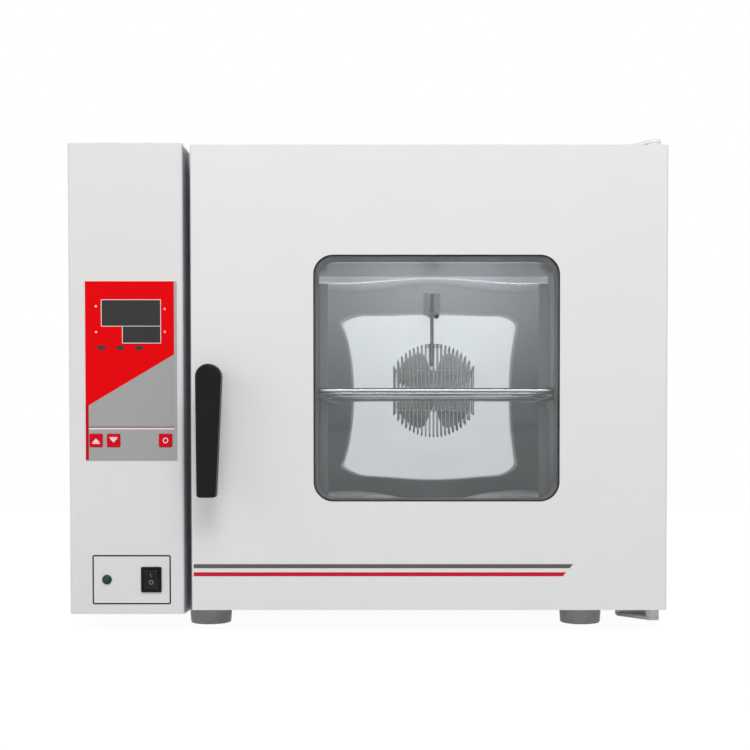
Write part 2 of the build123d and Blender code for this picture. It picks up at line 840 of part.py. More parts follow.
# The two bearing brackets, each with its boss and the posts that reach the core
with BuildPart() as motor_brackets:
    with BuildSketch(facing(insulation_back + motor_bracket_sheet)):
        pane(about(chamber_x, motor_plate_size), about(chamber_z, motor_plate_size), bearing_radius)
    extrude(amount=motor_bracket_sheet)
    with BuildSketch(facing(core_front)):
        with Locations((chamber_x, chamber_z)):
            with GridLocations(2 * motor_post_spread, 1, 2, 1):
                Circle(motor_post_radius)
    extrude(amount=motor_post_length)
    with BuildSketch(facing(insulation_back + motor_bracket_sheet + bearing_length)):
        with Locations((chamber_x, chamber_z)):
            Circle(bearing_radius)
    extrude(amount=bearing_length)
    with BuildSketch(facing(rear_bracket_back)):
        pane(core_across, about(chamber_z, 2 * bearing_radius), motor_post_radius)
    extrude(amount=motor_bracket_sheet)
    with BuildSketch(facing(rear_bracket_front)):
        with Locations((chamber_x, chamber_z)):
            with GridLocations(2 * motor_post_spread, 1, 2, 1):
                Circle(motor_post_radius)
    extrude(amount=motor_post_length)
    with BuildSketch(facing(rear_bracket_front)):
        with Locations((chamber_x, chamber_z)):
            Circle(bearing_radius)
    extrude(amount=bearing_length)
    with BuildSketch(facing(rear_bracket_back)):
        with Locations((chamber_x, chamber_z)):
            Circle(shaft_radius + bearing_gap)
    extrude(amount=rear_bracket_back - insulation_back, mode=Mode.SUBTRACT)
save(motor_brackets, "motor_brackets")

# Rotor and the shaft that carries the impeller through the insulation
shaft_front = hub_face - nut_thickness
with BuildPart() as motor_rotor:
    with BuildSketch(facing(rear_bracket_back)):
        with Locations((chamber_x, chamber_z)):
            Circle(shaft_radius)
    extrude(amount=rear_bracket_back - shaft_front)
    with BuildSketch(facing(core_back)):
        with Locations((chamber_x, chamber_z)):
            Circle(rotor_radius)
    extrude(amount=core_stack)
save(motor_rotor, "motor_rotor")

# Probe bracket: a plate on the back wall with an arm that the probe hangs through
probe_x = chamber_x + probe_shift
bracket_arm_z = chamber_ceiling - bracket_arm_drop
probe_y = front_y + back_panel_face - probe_stand_off
with BuildPart() as probe_bracket:
    with BuildSketch(facing(back_panel_face)):
        pane(about(probe_x, bracket_width), (bracket_arm_z, bracket_arm_z + bracket_height), bracket_sheet)
    extrude(amount=bracket_sheet)
    with BuildSketch(level(bracket_arm_z)):
        pane(about(probe_x, bracket_arm_width), (probe_y, front_y + back_panel_face))
        with Locations((probe_x, probe_y)):
            Circle(bracket_arm_width / 2)
            Circle(probe_radius + drop_in_gap, mode=Mode.SUBTRACT)
    extrude(amount=bracket_sheet)
save(probe_bracket, "probe_bracket")

# Temperature probe: a closed tube with a round tip and a collar that rests on the bracket's arm
probe_end_z = chamber_ceiling - probe_top_gap - probe_length
with BuildPart() as temperature_probe:
    with BuildSketch(level(probe_end_z)):
        with Locations((probe_x, probe_y)):
            Circle(probe_radius)
    extrude(amount=probe_length)
    fillet(temperature_probe.edges().sort_by(Axis.Z)[0], probe_tip_edge)
    with BuildSketch(level(bracket_arm_z + bracket_sheet)):
        with Locations((probe_x, probe_y)):
            Circle(probe_radius + bracket_sheet)
    extrude(amount=2 * probe_radius)
save(temperature_probe, "temperature_probe")

# Rubber feet, each recessed for the head of its screw
for foot_name, (foot_x, foot_depth) in foot_places.items():
    with BuildPart() as foot:
        foot_axis = Axis((foot_x, front_y + foot_depth, 0), (0, 0, 1))
        with BuildSketch(Plane(origin=(foot_x, front_y + foot_depth, 0), x_dir=(1, 0, 0), z_dir=(0, -1, 0))):
            with BuildLine():
                Polyline(
                    (foot_recess_radius, 0),
                    (foot_bottom_radius, 0),
                    (foot_top_radius, foot_height),
                    (foot_screw_radius, foot_height),
                    (foot_screw_radius, foot_recess_depth),
                    (foot_recess_radius, foot_recess_depth),
                    close=True,
                )
            make_face()
        revolve(axis=foot_axis)
        fillet(foot.edges().group_by(Axis.Z)[0].sort_by(SortBy.RADIUS)[-1], foot_edge)
    save(foot, foot_name)

# Hinge brackets: each plate narrows to a round tip at the pin and stands off the cabinet on a riser
low_plate_z = body_bottom - hinge_riser_low - hinge_plate
high_plate_z = body_top + hinge_riser_high
hinge_base_across = (hinge_base_right - hinge_base_width, hinge_base_right)
hinge_base_along = (front_y + hinge_base_start, front_y + hinge_base_start + hinge_base_depth)


def hinge_bracket(plate_z, riser_z, riser_height):
    """One hinge bracket, from the heights of its plate and of its riser."""
    with BuildPart() as bracket:
        with BuildSketch(level(plate_z)):
            with Locations((pin_x, front_y + pin_depth)):
                Circle(hinge_tip_radius)
            pane(hinge_base_across, hinge_base_along)
            make_hull()
            with Locations((pin_x, front_y + pin_depth)):
                Circle(pin_radius, mode=Mode.SUBTRACT)
        extrude(amount=hinge_plate)
        with BuildSketch(level(riser_z)):
            pane(hinge_base_across, hinge_base_along)
        extrude(amount=riser_height)
        with BuildSketch(level(min(plate_z, riser_z))):
            with Locations((hinge_base_x, front_y + hinge_screw_depth)):
                with GridLocations(hinge_screw_spacing, 1, 2, 1):
                    Circle(hinge_screw_radius)
        extrude(amount=hinge_plate + riser_height, mode=Mode.SUBTRACT)
    return bracket


save(hinge_bracket(low_plate_z, low_plate_z + hinge_plate, hinge_riser_low), "lower_hinge_bracket")
save(hinge_bracket(high_plate_z, body_top, hinge_riser_high), "upper_hinge_bracket")

# Hinge pins, fixed in the brackets and entering the door from below and above
with BuildPart() as hinge_pins:
    with BuildSketch(level(low_plate_z)):
        with Locations((pin_x, front_y + pin_depth)):
            Circle(pin_radius)
    extrude(amount=door_bottom + pin_length - low_plate_z)
    with BuildSketch(level(high_plate_z + hinge_plate)):
        with Locations((pin_x, front_y + pin_depth)):
            Circle(pin_radius)
    extrude(amount=door_top - pin_length - high_plate_z - hinge_plate)
save(hinge_pins, "hinge_pins")

# Flanged bushes, pressed into the door and running on the pins
bush_radius = pin_radius + bearing_gap + bush_wall
low_bush_flange = (low_plate_z + hinge_plate + running_gap, door_bottom)
high_bush_flange = (door_top, high_plate_z - running_gap)
with BuildPart() as hinge_bushes:
    for flange, sleeve_end in (
        (low_bush_flange, door_bottom + pin_length),
        (high_bush_flange, door_top - pin_length),
    ):
        flange_start = min(flange) if sleeve_end > min(flange) else max(flange)
        with BuildSketch(level(flange[0])):
            with Locations((pin_x, front_y + pin_depth)):
                Circle(pin_radius + bearing_gap + bush_flange)
        extrude(amount=length(flange))
        with BuildSketch(level(flange_start)):
            with Locations((pin_x, front_y + pin_depth)):
                Circle(bush_radius)
        extrude(amount=sleeve_end - flange_start)
    with BuildSketch(level(low_plate_z)):
        with Locations((pin_x, front_y + pin_depth)):
            Circle(pin_radius + bearing_gap)
    extrude(amount=high_plate_z - low_plate_z, mode=Mode.SUBTRACT)
save(hinge_bushes, "hinge_bushes")

# Door pan: the front skin folded back on all four sides, with the window opening
with BuildPart() as door_pan:
    with BuildSketch(facing(door_thickness)):
        pane(door_across, door_up)
    extrude(amount=door_thickness)
    fillet(door_pan.edges().filter_by(Axis.Z).group_by(Axis.Y)[0], door_fold)
    with BuildSketch(level(door_bottom + door_sheet)) as pan_hollow:
        pane(grown(door_across, -door_sheet), (front_y + door_sheet, front_y + door_thickness))
        fillet(pan_hollow.vertices().group_by(Axis.Y)[0], door_fold - door_sheet)
    extrude(amount=length(door_up) - 2 * door_sheet, mode=Mode.SUBTRACT)
    with BuildSketch(facing(door_sheet)):
        pane(window_across, window_up, window_corner)
        with Locations((pivot_x, pivot_z)):
            Circle(spindle_radius + running_gap)
    extrude(amount=door_sheet, mode=Mode.SUBTRACT)
    with BuildSketch(level(door_bottom)):
        with Locations((pin_x, front_y + pin_depth)):
            Circle(bush_radius)
    extrude(amount=length(door_up), mode=Mode.SUBTRACT)
save(door_pan, "door_pan")

# Inner panel of the door, inside the pan's folded edges
panel_across = grown(door_across, -door_sheet - running_gap)
panel_up = grown(door_up, -door_sheet - running_gap)
sight_corner = window_corner - window_border
sight_across = grown(window_across, -window_border)
sight_up = grown(window_up, -window_border)
with BuildPart() as door_inner_panel:
    with BuildSketch(facing(door_thickness)):
        pane(panel_across, panel_up)
        pane(sight_across, sight_up, sight_corner, mode=Mode.SUBTRACT)
        with Locations((pivot_x, pivot_z)):
            Circle(spindle_radius + running_gap, mode=Mode.SUBTRACT)
    extrude(amount=door_sheet)
save(door_inner_panel, "door_inner_panel")

# Two panes of glass with the frame that holds them apart
glass_across = grown(window_across, glass_lap)
glass_up = grown(window_up, glass_lap)
glass_corner = window_corner + glass_lap / 2
inner_glass_back = door_thickness - door_sheet
with BuildPart() as outer_glass:
    with BuildSketch(facing(door_sheet + glass_thickness)):
        pane(glass_across, glass_up, glass_corner)
    extrude(amount=glass_thickness)
save(outer_glass, "outer_glass")

with BuildPart() as inner_glass:
    with BuildSketch(facing(inner_glass_back)):
        pane(glass_across, glass_up, glass_corner)
    extrude(amount=glass_thickness)
save(inner_glass, "inner_glass")

with BuildPart() as window_frame:
    with BuildSketch(facing(inner_glass_back - glass_thickness)):
        pane(glass_across, glass_up, glass_corner)
        pane(sight_across, sight_up, sight_corner, mode=Mode.SUBTRACT)
    extrude(amount=inner_glass_back - 2 * glass_thickness - door_sheet)
save(window_frame, "window_frame")

# Mineral wool between the door's two skins
with BuildPart() as door_insulation:
    with BuildSketch(facing(inner_glass_back)):
        pane(grown(door_across, -door_insulation_inset), grown(door_up, -door_insulation_inset))
        pane(glass_across, glass_up, glass_corner, mode=Mode.SUBTRACT)
    extrude(amount=inner_glass_back - door_sheet)
save(door_insulation, "door_insulation")

# Silicone gasket on the inner panel, round the window, which closes on the liner's flange
gasket_back = face_depth - liner_sheet - running_gap
with BuildPart() as door_gasket:
    with BuildSketch(facing(gasket_back)):
        gasket_out = gasket_inset + gasket_width
        pane(grown(chamber_across, gasket_out), grown(chamber_up, gasket_out), gasket_width)
        pane(
            grown(chamber_across, gasket_inset),
            grown(chamber_up, gasket_inset),
            gasket_inner_corner,
            mode=Mode.SUBTRACT,
        )
    extrude(amount=gasket_back - door_thickness)
    chamfer(door_gasket.faces().sort_by(Axis.Y)[-1].edges(), gasket_bevel)
save(door_gasket, "door_gasket")

# Handle base: the round plate on the door that the spindle turns in
with BuildPart() as handle_base:
    with BuildSketch(facing(0)):
        with Locations((pivot_x, pivot_z)):
            Circle(handle_base_radius)
    extrude(amount=handle_base_thickness)
    fillet(handle_base.edges().sort_by(Axis.Y)[0], handle_base_edge)
    with BuildSketch(facing(0)):
        with Locations((pivot_x, pivot_z)):
            Circle(spindle_radius + bearing_gap)
    extrude(amount=handle_base_thickness, mode=Mode.SUBTRACT)
save(handle_base, "handle_base")

# Handle: a lever that hangs from its pivot, narrower at its lower end, on a round boss
grip_back = -handle_reach + handle_grip_thickness
boss_back = -handle_base_thickness - running_gap
handle_end_z = pivot_z - handle_length
with BuildPart() as door_handle:
    with BuildSketch(facing(grip_back)):
        with BuildLine() as lever_line:
            crown = ThreePointArc(
                (pivot_x + handle_top_radius, pivot_z),
                (pivot_x, pivot_z + handle_top_radius),
                (pivot_x - handle_top_radius, pivot_z),
            )
            Polyline(
                crown @ 1,
                (pivot_x - handle_bottom_half - handle_skew, handle_end_z),
                (pivot_x + handle_bottom_half - handle_skew, handle_end_z),
                crown @ 0,
            )
        make_face()
        fillet(lever_line.vertices().sort_by(Axis.Y)[0:2], handle_corner)
    extrude(amount=handle_grip_thickness)
    fillet(door_handle.faces().sort_by(Axis.Y)[0].edges(), handle_edge)
    fillet(door_handle.faces().sort_by(Axis.Y)[-1].edges(), handle_edge / 2)
    with BuildSketch(facing(boss_back)):
        with Locations((pivot_x, pivot_z)):
            Circle(handle_boss_radius)
    extrude(amount=boss_back - grip_back)
    with BuildSketch(facing(boss_back)):
        with Locations((pivot_x, pivot_z)):
            Circle(spindle_radius)
    extrude(amount=spindle_grip, mode=Mode.SUBTRACT)
save(door_handle, "door_handle")

# Spindle from the handle to the tongue, through the whole door
tongue_front = frame_back + keeper_sheet + running_gap
tongue_back = tongue_front + tongue_thickness
with BuildPart() as latch_spindle:
    with BuildSketch(facing(tongue_back)):
        with Locations((pivot_x, pivot_z)):
            Circle(spindle_radius)
    extrude(amount=tongue_back - boss_back + spindle_grip)
save(latch_spindle, "latch_spindle")

# Latch tongue: hangs in the frame's slot at rest and turns behind the keeper with the handle
with BuildPart() as latch_tongue:
    with BuildSketch(facing(tongue_back)):
        pane(about(pivot_x, 2 * tongue_half_width), (pivot_z - tongue_length, pivot_z))
        with Locations((pivot_x, pivot_z)):
            Circle(spindle_radius + bush_wall)
            Circle(spindle_radius, mode=Mode.SUBTRACT)
    extrude(amount=tongue_thickness)
    tongue_tip = latch_tongue.edges().filter_by(Axis.Y).group_by(Axis.Z)[0]
    fillet(tongue_tip, tongue_half_width / 2)
save(latch_tongue, "latch_tongue")

# Spans of the overlay, the displays, the lamps and the buttons
overlay_across = (x_left + overlay_left_margin, cabinet_left - overlay_right_margin)
overlay_up = (body_bottom + overlay_rise, body_bottom + overlay_rise + overlay_height)
display_edge = overlay_across[1] - display_right_margin
upper_across = (display_edge - upper_display_width, display_edge)
upper_up = about(overlay_up[1] - upper_display_drop, upper_display_height)
lower_across = (display_edge - lower_display_width, display_edge)
lower_up = (upper_up[0] - display_step - lower_display_height, upper_up[0] - display_step)
led_left = overlay_across[0] + led_first
led_places = [(led_left + index * led_pitch, overlay_up[1] - led_drop) for index in range(led_count)]
button_left = overlay_across[0] + button_first
button_z = overlay_up[0] + button_rise
button_spots = {
    "up_button": (button_left, button_z),
    "down_button": (button_left + button_pitch, button_z),
    "set_button": (overlay_across[1] - set_button_margin, button_z),
}
button_hole = button_size + 2 * running_gap
lamp_place = (overlay_across[0] + lamp_inset, body_bottom + power_rise)
rocker_place = (overlay_across[1] - rocker_inset, body_bottom + power_rise)
rocker_inner_width = paddle_width + 2 * running_gap
rocker_inner_height = 2 * (paddle_radius + running_gap)
rocker_body_width = rocker_inner_width + 2 * rocker_wall
rocker_body_height = rocker_inner_height + 2 * rocker_wall


def panel_windows(gap):
    """Cut the display, lamp and button openings in the sketch being drawn, with a gap round each."""
    pane(grown(upper_across, gap), grown(upper_up, gap), mode=Mode.SUBTRACT)
    pane(grown(lower_across, gap), grown(lower_up, gap), mode=Mode.SUBTRACT)
    with Locations(*led_places):
        SlotOverall(led_width + 2 * gap, led_height + 2 * gap, mode=Mode.SUBTRACT)
    with Locations(*button_spots.values()):
        RectangleRounded(button_hole, button_hole, button_corner, mode=Mode.SUBTRACT)


# Control box: the front folded back along both sides, open at the rear
with BuildPart() as control_box_shell:
    with BuildSketch(facing(body_depth)):
        pane(control_across, cabinet_up)
    extrude(amount=body_depth)
    fillet(control_box_shell.edges().filter_by(Axis.Z).group_by(Axis.Y)[0], control_fold)
    control_mouth = control_box_shell.faces().filter_by(Axis.Y).sort_by(Axis.Y)[-1]
    offset(amount=-shell_sheet, openings=control_mouth, kind=Kind.INTERSECTION)
    with BuildSketch(facing(shell_sheet)) as front_cutouts:
        pane(grown(upper_across, drop_in_gap), (lower_up[0] - drop_in_gap, upper_up[1] + drop_in_gap))
        with Locations(*led_places):
            SlotOverall(led_width + 2 * drop_in_gap, led_height + 2 * drop_in_gap)
        with Locations(*button_spots.values()):
            RectangleRounded(button_hole, button_hole, button_corner)
        with Locations(lamp_place):
            Circle(lamp_body_radius)
        with Locations(rocker_place):
            Rectangle(rocker_body_width, rocker_body_height)
    extrude(amount=shell_sheet, mode=Mode.SUBTRACT)
    with BuildSketch(Plane.YZ.offset(cabinet_left)):
        with Locations((front_y + body_depth - wire_hole_inset, body_bottom + wire_hole_rise)):
            Circle(wire_hole_radius)
    extrude(amount=-shell_sheet, mode=Mode.SUBTRACT)
save(control_box_shell, "control_box_shell")

# Rear cover of the control box, with the inlet's cut-out and ventilation slots
inlet_place = (control_x, body_bottom + inlet_rise)
with BuildPart() as control_rear_cover:
    with BuildSketch(facing(body_depth)):
        pane(cover_across, cover_up)
        with Locations(*cover_screw_places):
            Circle(screw_radius, mode=Mode.SUBTRACT)
        with Locations(inlet_place):
            Rectangle(inlet_body_width, inlet_body_height, mode=Mode.SUBTRACT)
        with Locations((control_x, (body_bottom + body_top) / 2)):
            with GridLocations(1, vent_pitch, 1, control_vent_rows):
                SlotOverall(vent_length, vent_width, mode=Mode.SUBTRACT)
    extrude(amount=shell_sheet)
save(control_rear_cover, "control_rear_cover")

# Printed overlay on the front, cut out for the displays, the lamps and the buttons
with BuildPart() as control_overlay:
    with BuildSketch(facing(0)):
        pane(overlay_across, overlay_up, button_corner)
        panel_windows(drop_in_gap)
    extrude(amount=overlay_sheet)
save(control_overlay, "control_overlay")

# Dark lenses over the two displays
lens_front = -overlay_sheet + lens_recess
with BuildPart() as display_lenses:
    with BuildSketch(facing(lens_front + lens_sheet)):
        pane(upper_across, upper_up)
        pane(lower_across, lower_up)
    extrude(amount=lens_sheet)
save(display_lenses, "display_lenses")

# Three small lamp lenses under the displays
with BuildPart() as indicator_lenses:
    with BuildSketch(facing(led_length - overlay_sheet)):
        with Locations(*led_places):
            SlotOverall(led_width, led_height)
    extrude(amount=led_length)
save(indicator_lenses, "indicator_lenses")

# Push buttons, each held behind the panel by a lip and clear of its switch by more than its travel
button_front = -overlay_sheet - button_proud
lip_front = shell_sheet + running_gap
lip_back = lip_front + button_lip_sheet
for button_name, spot in button_spots.items():
    with BuildPart() as button:
        with BuildSketch(facing(lip_back)):
            with Locations(spot):
                RectangleRounded(button_size, button_size, button_corner)
        extrude(amount=lip_back - button_front)
        fillet(button.faces().sort_by(Axis.Y)[0].edges(), button_proud / 2)
        with BuildSketch(facing(lip_back)):
            with Locations(spot):
                RectangleRounded(button_hole + button_lip, button_hole + button_lip, button_corner)
        extrude(amount=button_lip_sheet)
    save(button, button_name)

# Display module behind the lenses, on the circuit board
with BuildPart() as display_module:
    with BuildSketch(facing(board_depth)):
        pane(upper_across, (lower_up[0], upper_up[1]))
    extrude(amount=board_depth - display_module_depth)
save(display_module, "display_module")

# Circuit board on four posts, with a switch behind each button
board_across = grown(overlay_across, -board_margin)
board_up = grown(overlay_up, -board_margin)
with BuildPart() as circuit_board:
    with BuildSketch(facing(board_depth + board_sheet)):
        pane(board_across, board_up)
    extrude(amount=board_sheet)
    with BuildSketch(facing(board_depth)):
        for post_x in grown(board_across, -board_post_inset):
            with Locations((post_x, board_up[1] - board_post_inset)):
                Circle(board_post_radius)
            with Locations((post_x, board_up[0] + board_post_inset)):
                Circle(board_post_radius)
    extrude(amount=board_depth - shell_sheet)
    with BuildSketch(facing(board_depth)):
        with Locations(*button_spots.values()):
            Rectangle(switch_size, switch_size)
    extrude(amount=board_depth - lip_back - button_travel - running_gap)
save(circuit_board, "circuit_board")

# Pilot lamp: a domed lens on a barrel through the panel
with BuildPart() as pilot_lamp:
    lamp_axis = Axis((lamp_place[0], front_y, lamp_place[1]), (0, 1, 0))
    with BuildSketch(Plane(origin=(lamp_place[0], front_y, lamp_place[1]), x_dir=(1, 0, 0), z_dir=(0, 0, 1))):
        with BuildLine():
            dome = TangentArc((0, -lamp_dome), (lamp_radius, -lamp_shoulder), tangent=(1, 0))
            Polyline(
                dome @ 1,
                (lamp_radius, 0),
                (lamp_body_radius, 0),
                (lamp_body_radius, lamp_body_length),
                (0, lamp_body_length),
                dome @ 0,
            )
        make_face()
    revolve(axis=lamp_axis)
save(pilot_lamp, "pilot_lamp")

# Housing of the mains rocker: a flange on the panel and an open box behind it, bored for the paddle's pins
with BuildPart() as rocker_housing:
    with BuildSketch(facing(0)):
        with Locations(rocker_place):
            RectangleRounded(rocker_flange_width, rocker_flange_height, rocker_wall)
    extrude(amount=rocker_flange_sheet)
    chamfer(rocker_housing.faces().sort_by(Axis.Y)[0].edges(), rocker_bevel)
    with BuildSketch(facing(rocker_body_depth)):
        with Locations(rocker_place):
            Rectangle(rocker_body_width, rocker_body_height)
    extrude(amount=rocker_body_depth)
    with BuildSketch(facing(rocker_body_depth - rocker_wall)):
        with Locations(rocker_place):
            Rectangle(rocker_inner_width, rocker_inner_height)
    extrude(amount=rocker_body_depth - rocker_wall + rocker_flange_sheet, mode=Mode.SUBTRACT)
    pin_span = rocker_inner_width + 2 * paddle_pin_length
    with BuildSketch(Plane.YZ.offset(rocker_place[0] - pin_span / 2)):
        with Locations((front_y, rocker_place[1])):
            Circle(paddle_pin_radius + bearing_gap)
    extrude(amount=pin_span, mode=Mode.SUBTRACT)
save(rocker_housing, "rocker_housing")

# Rocker paddle: a drum round its pins with two dished faces, at rest with its lower half pressed in
face_rise = 2 * paddle_radius * tan(radians(paddle_lean))
with BuildSketch() as paddle_section:
    Circle(paddle_radius)
    with BuildLine():
        Polyline(
            (-paddle_valley, 0),
            (-paddle_valley - face_rise, 2 * paddle_radius),
            (-2 * paddle_radius, 0),
            (-paddle_valley - face_rise, -2 * paddle_radius),
            close=True,
        )
    make_face(mode=Mode.SUBTRACT)
    with Locations((paddle_back + paddle_radius, 0)):
        Rectangle(2 * paddle_radius, 2 * paddle_radius, mode=Mode.SUBTRACT)
with BuildPart() as rocker_paddle:
    with BuildSketch(Plane.YZ.offset(rocker_place[0] - paddle_width / 2)):
        with Locations((front_y, rocker_place[1])):
            add(paddle_section.sketch, rotation=paddle_lean)
    extrude(amount=paddle_width)
    paddle_pin_span = paddle_width + 2 * paddle_pin_length
    with BuildSketch(Plane.YZ.offset(rocker_place[0] - paddle_pin_span / 2)):
        with Locations((front_y, rocker_place[1])):
            Circle(paddle_pin_radius)
    extrude(amount=paddle_pin_span)
save(rocker_paddle, "rocker_paddle")

# Equipment plate on the control box's right wall, on four posts
plate_face = cabinet_left - shell_sheet - equipment_plate_gap
plate_along = about(front_y + body_depth / 2, equipment_plate_depth)
plate_up = (body_bottom + equipment_plate_rise, body_bottom + equipment_plate_rise + equipment_plate_height)
with BuildPart() as equipment_plate:
    with BuildSketch(Plane.YZ.offset(plate_face - shell_sheet)):
        pane(plate_along, plate_up)
    extrude(amount=shell_sheet)
    with BuildSketch(Plane.YZ.offset(plate_face)):
        for post_y in grown(plate_along, -equipment_post_inset):
            for post_z in grown(plate_up, -equipment_post_inset):
                with Locations((post_y, post_z)):
                    Circle(equipment_post_radius)
    extrude(amount=equipment_plate_gap)
save(equipment_plate, "equipment_plate")

# Transformer: a core with its winding standing out on both sides
transformer_y = middle(plate_along)
transformer_z = plate_up[0] + transformer_rise
equipment_face = plate_face - shell_sheet
with BuildPart() as transformer:
    with BuildSketch(Plane.YZ.offset(equipment_face - transformer_stack)):
        pane(about(transformer_y, transformer_width), about(transformer_z, transformer_height))
    extrude(amount=transformer_stack)
    with BuildSketch(Plane.YZ.offset(equipment_face - transformer_stack - transformer_coil)):
        pane(
            about(transformer_y, transformer_width - 2 * transformer_coil),
            about(transformer_z, transformer_height - 2 * transformer_coil),
            transformer_coil / 2,
        )
    extrude(amount=transformer_coil)
save(transformer, "transformer")

# Power relay on its finned heat sink
relay_z = plate_up[0] + relay_rise
sink_along = about(transformer_y, relay_width + 2 * sink_base)
with BuildPart() as power_relay:
    with BuildSketch(Plane.YZ.offset(equipment_face - sink_fin_height - sink_base)):
        pane(sink_along, about(relay_z, relay_height + 2 * sink_base))
    extrude(amount=sink_base)
    with BuildSketch(Plane.YZ.offset(equipment_face - sink_fin_height)):
        fin_pitch = (length(sink_along) - sink_fin_sheet) / (sink_fin_count - 1)
        with Locations((transformer_y, relay_z)):
            with GridLocations(fin_pitch, 1, sink_fin_count, 1):
                Rectangle(sink_fin_sheet, relay_height + 2 * sink_base)
    extrude(amount=sink_fin_height)
    with BuildSketch(Plane.YZ.offset(equipment_face - sink_fin_height - sink_base - relay_body)):
        pane(about(transformer_y, relay_width), about(relay_z, relay_height), sink_fin_sheet)
    extrude(amount=relay_body)
save(power_relay, "power_relay")

# Mains inlet with its fuse drawer, in the rear cover
with BuildPart() as power_inlet:
    with BuildSketch(facing(body_depth + inlet_flange)):
        with Locations(inlet_place):
            RectangleRounded(inlet_width, inlet_height, inlet_corner)
    extrude(amount=inlet_flange)
    with BuildSketch(facing(body_depth)):
        with Locations(inlet_place):
            Rectangle(inlet_body_width, inlet_body_height)
    extrude(amount=inlet_body_depth)
    socket_place = (inlet_place[0], inlet_place[1] + socket_shift)
    with BuildSketch(facing(body_depth + inlet_flange)) as socket_outline:
        with Locations(socket_place):
            Rectangle(socket_width, socket_height)
        chamfer(socket_outline.vertices().group_by(Axis.Y)[-1], socket_corner)
    extrude(amount=socket_depth, mode=Mode.SUBTRACT)
    socket_floor = body_depth + inlet_flange - socket_depth
    with BuildSketch(facing(socket_floor + contact_length)):
        with Locations((socket_place[0] - contact_spacing, socket_place[1] - contact_height / 2)):
            Rectangle(contact_width, contact_height)
        with Locations((socket_place[0] + contact_spacing, socket_place[1] - contact_height / 2)):
            Rectangle(contact_width, contact_height)
        with Locations((socket_place[0], socket_place[1] + contact_height / 2)):
            Rectangle(contact_width, contact_height)
    extrude(amount=contact_length)
    with BuildSketch(facing(body_depth + inlet_flange)):
        with Locations((inlet_place[0], inlet_place[1] + fuse_drawer_shift)):
            Rectangle(fuse_drawer_width, fuse_drawer_height)
            Rectangle(
                fuse_drawer_width - 2 * fuse_drawer_recess,
                fuse_drawer_height - 2 * fuse_drawer_recess,
                mode=Mode.SUBTRACT,
            )
    extrude(amount=fuse_drawer_recess, mode=Mode.SUBTRACT)
save(power_inlet, "power_inlet")

# Screws of the two rear covers
with BuildPart() as cover_screws:
    for head_x, head_z in panel_screw_places + cover_screw_places:
        with BuildSketch(facing(body_depth + screw_head_height)):
            with Locations((head_x, head_z)):
                Circle(screw_head_radius)
        extrude(amount=screw_head_height)
        with BuildSketch(facing(body_depth)):
            with Locations((head_x, head_z)):
                Circle(screw_radius)
        extrude(amount=screw_length)
save(cover_screws, "cover_screws")
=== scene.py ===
"""Looks of the benchtop laboratory incubator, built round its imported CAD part.

Metres. +X is to the right as the user sees it, the front faces -Y and +Z is up.
"""
import json
from math import cos, pi, radians, sin, tan

import bmesh
import bpy
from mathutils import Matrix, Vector
from mathutils.geometry import tessellate_polygon


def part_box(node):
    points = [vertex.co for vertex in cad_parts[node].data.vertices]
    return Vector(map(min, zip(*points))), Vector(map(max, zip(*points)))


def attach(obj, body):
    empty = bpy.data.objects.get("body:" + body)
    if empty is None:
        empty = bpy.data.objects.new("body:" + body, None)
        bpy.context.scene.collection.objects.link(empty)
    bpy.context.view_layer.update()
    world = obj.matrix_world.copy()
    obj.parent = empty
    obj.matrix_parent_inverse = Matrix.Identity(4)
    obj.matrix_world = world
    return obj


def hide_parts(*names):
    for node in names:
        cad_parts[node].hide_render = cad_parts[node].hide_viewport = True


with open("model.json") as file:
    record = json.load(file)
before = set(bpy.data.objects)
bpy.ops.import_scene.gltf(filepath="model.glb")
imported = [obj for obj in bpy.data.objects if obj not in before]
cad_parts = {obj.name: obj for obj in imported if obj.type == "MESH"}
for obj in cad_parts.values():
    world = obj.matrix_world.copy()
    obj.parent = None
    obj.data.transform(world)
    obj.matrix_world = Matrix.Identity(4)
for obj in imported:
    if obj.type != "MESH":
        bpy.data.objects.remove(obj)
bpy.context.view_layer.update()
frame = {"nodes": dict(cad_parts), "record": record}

MM = 0.001
nodes = frame["nodes"]
slot_of = {part["node"]: part["material_slot"] for part in frame["record"]["subparts"]}

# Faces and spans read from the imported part
door_low, door_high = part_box("door_pan")
control_low, control_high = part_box("control_box_shell")
overlay_low, overlay_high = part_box("control_overlay")
panel_low, panel_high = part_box("chamber_back_panel")
lamp_low, lamp_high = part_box("pilot_lamp")
rocker_low, rocker_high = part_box("rocker_housing")
front_y = door_low.y


def middle(low, high):
    """Middle of a box given by its corners, as x and z."""
    return (low.x + high.x) / 2, (low.z + high.z) / 2


window_x, window_z = middle(panel_low, panel_high)
lamp_x, lamp_z = middle(lamp_low, lamp_high)
rocker_x, rocker_z = middle(rocker_low, rocker_high)


# Colours as they read on the object
DOOR_WHITE = (0.81, 0.81, 0.81)
BOX_WHITE = (0.775, 0.775, 0.775)
BRACKET_WHITE = (0.86, 0.86, 0.86)
# Painted shade on the plate of the lower hinge bracket
PLATE_SHADE_GREY = (0.6, 0.6, 0.62)
PRINT_RED = (0.828, 0.0005, 0.003)
PRINT_DARK_RED = (0.56, 0.002, 0.008)
PRINT_GREY = (0.395, 0.395, 0.395)
PRINT_PALE_GREY = (0.42, 0.42, 0.43)
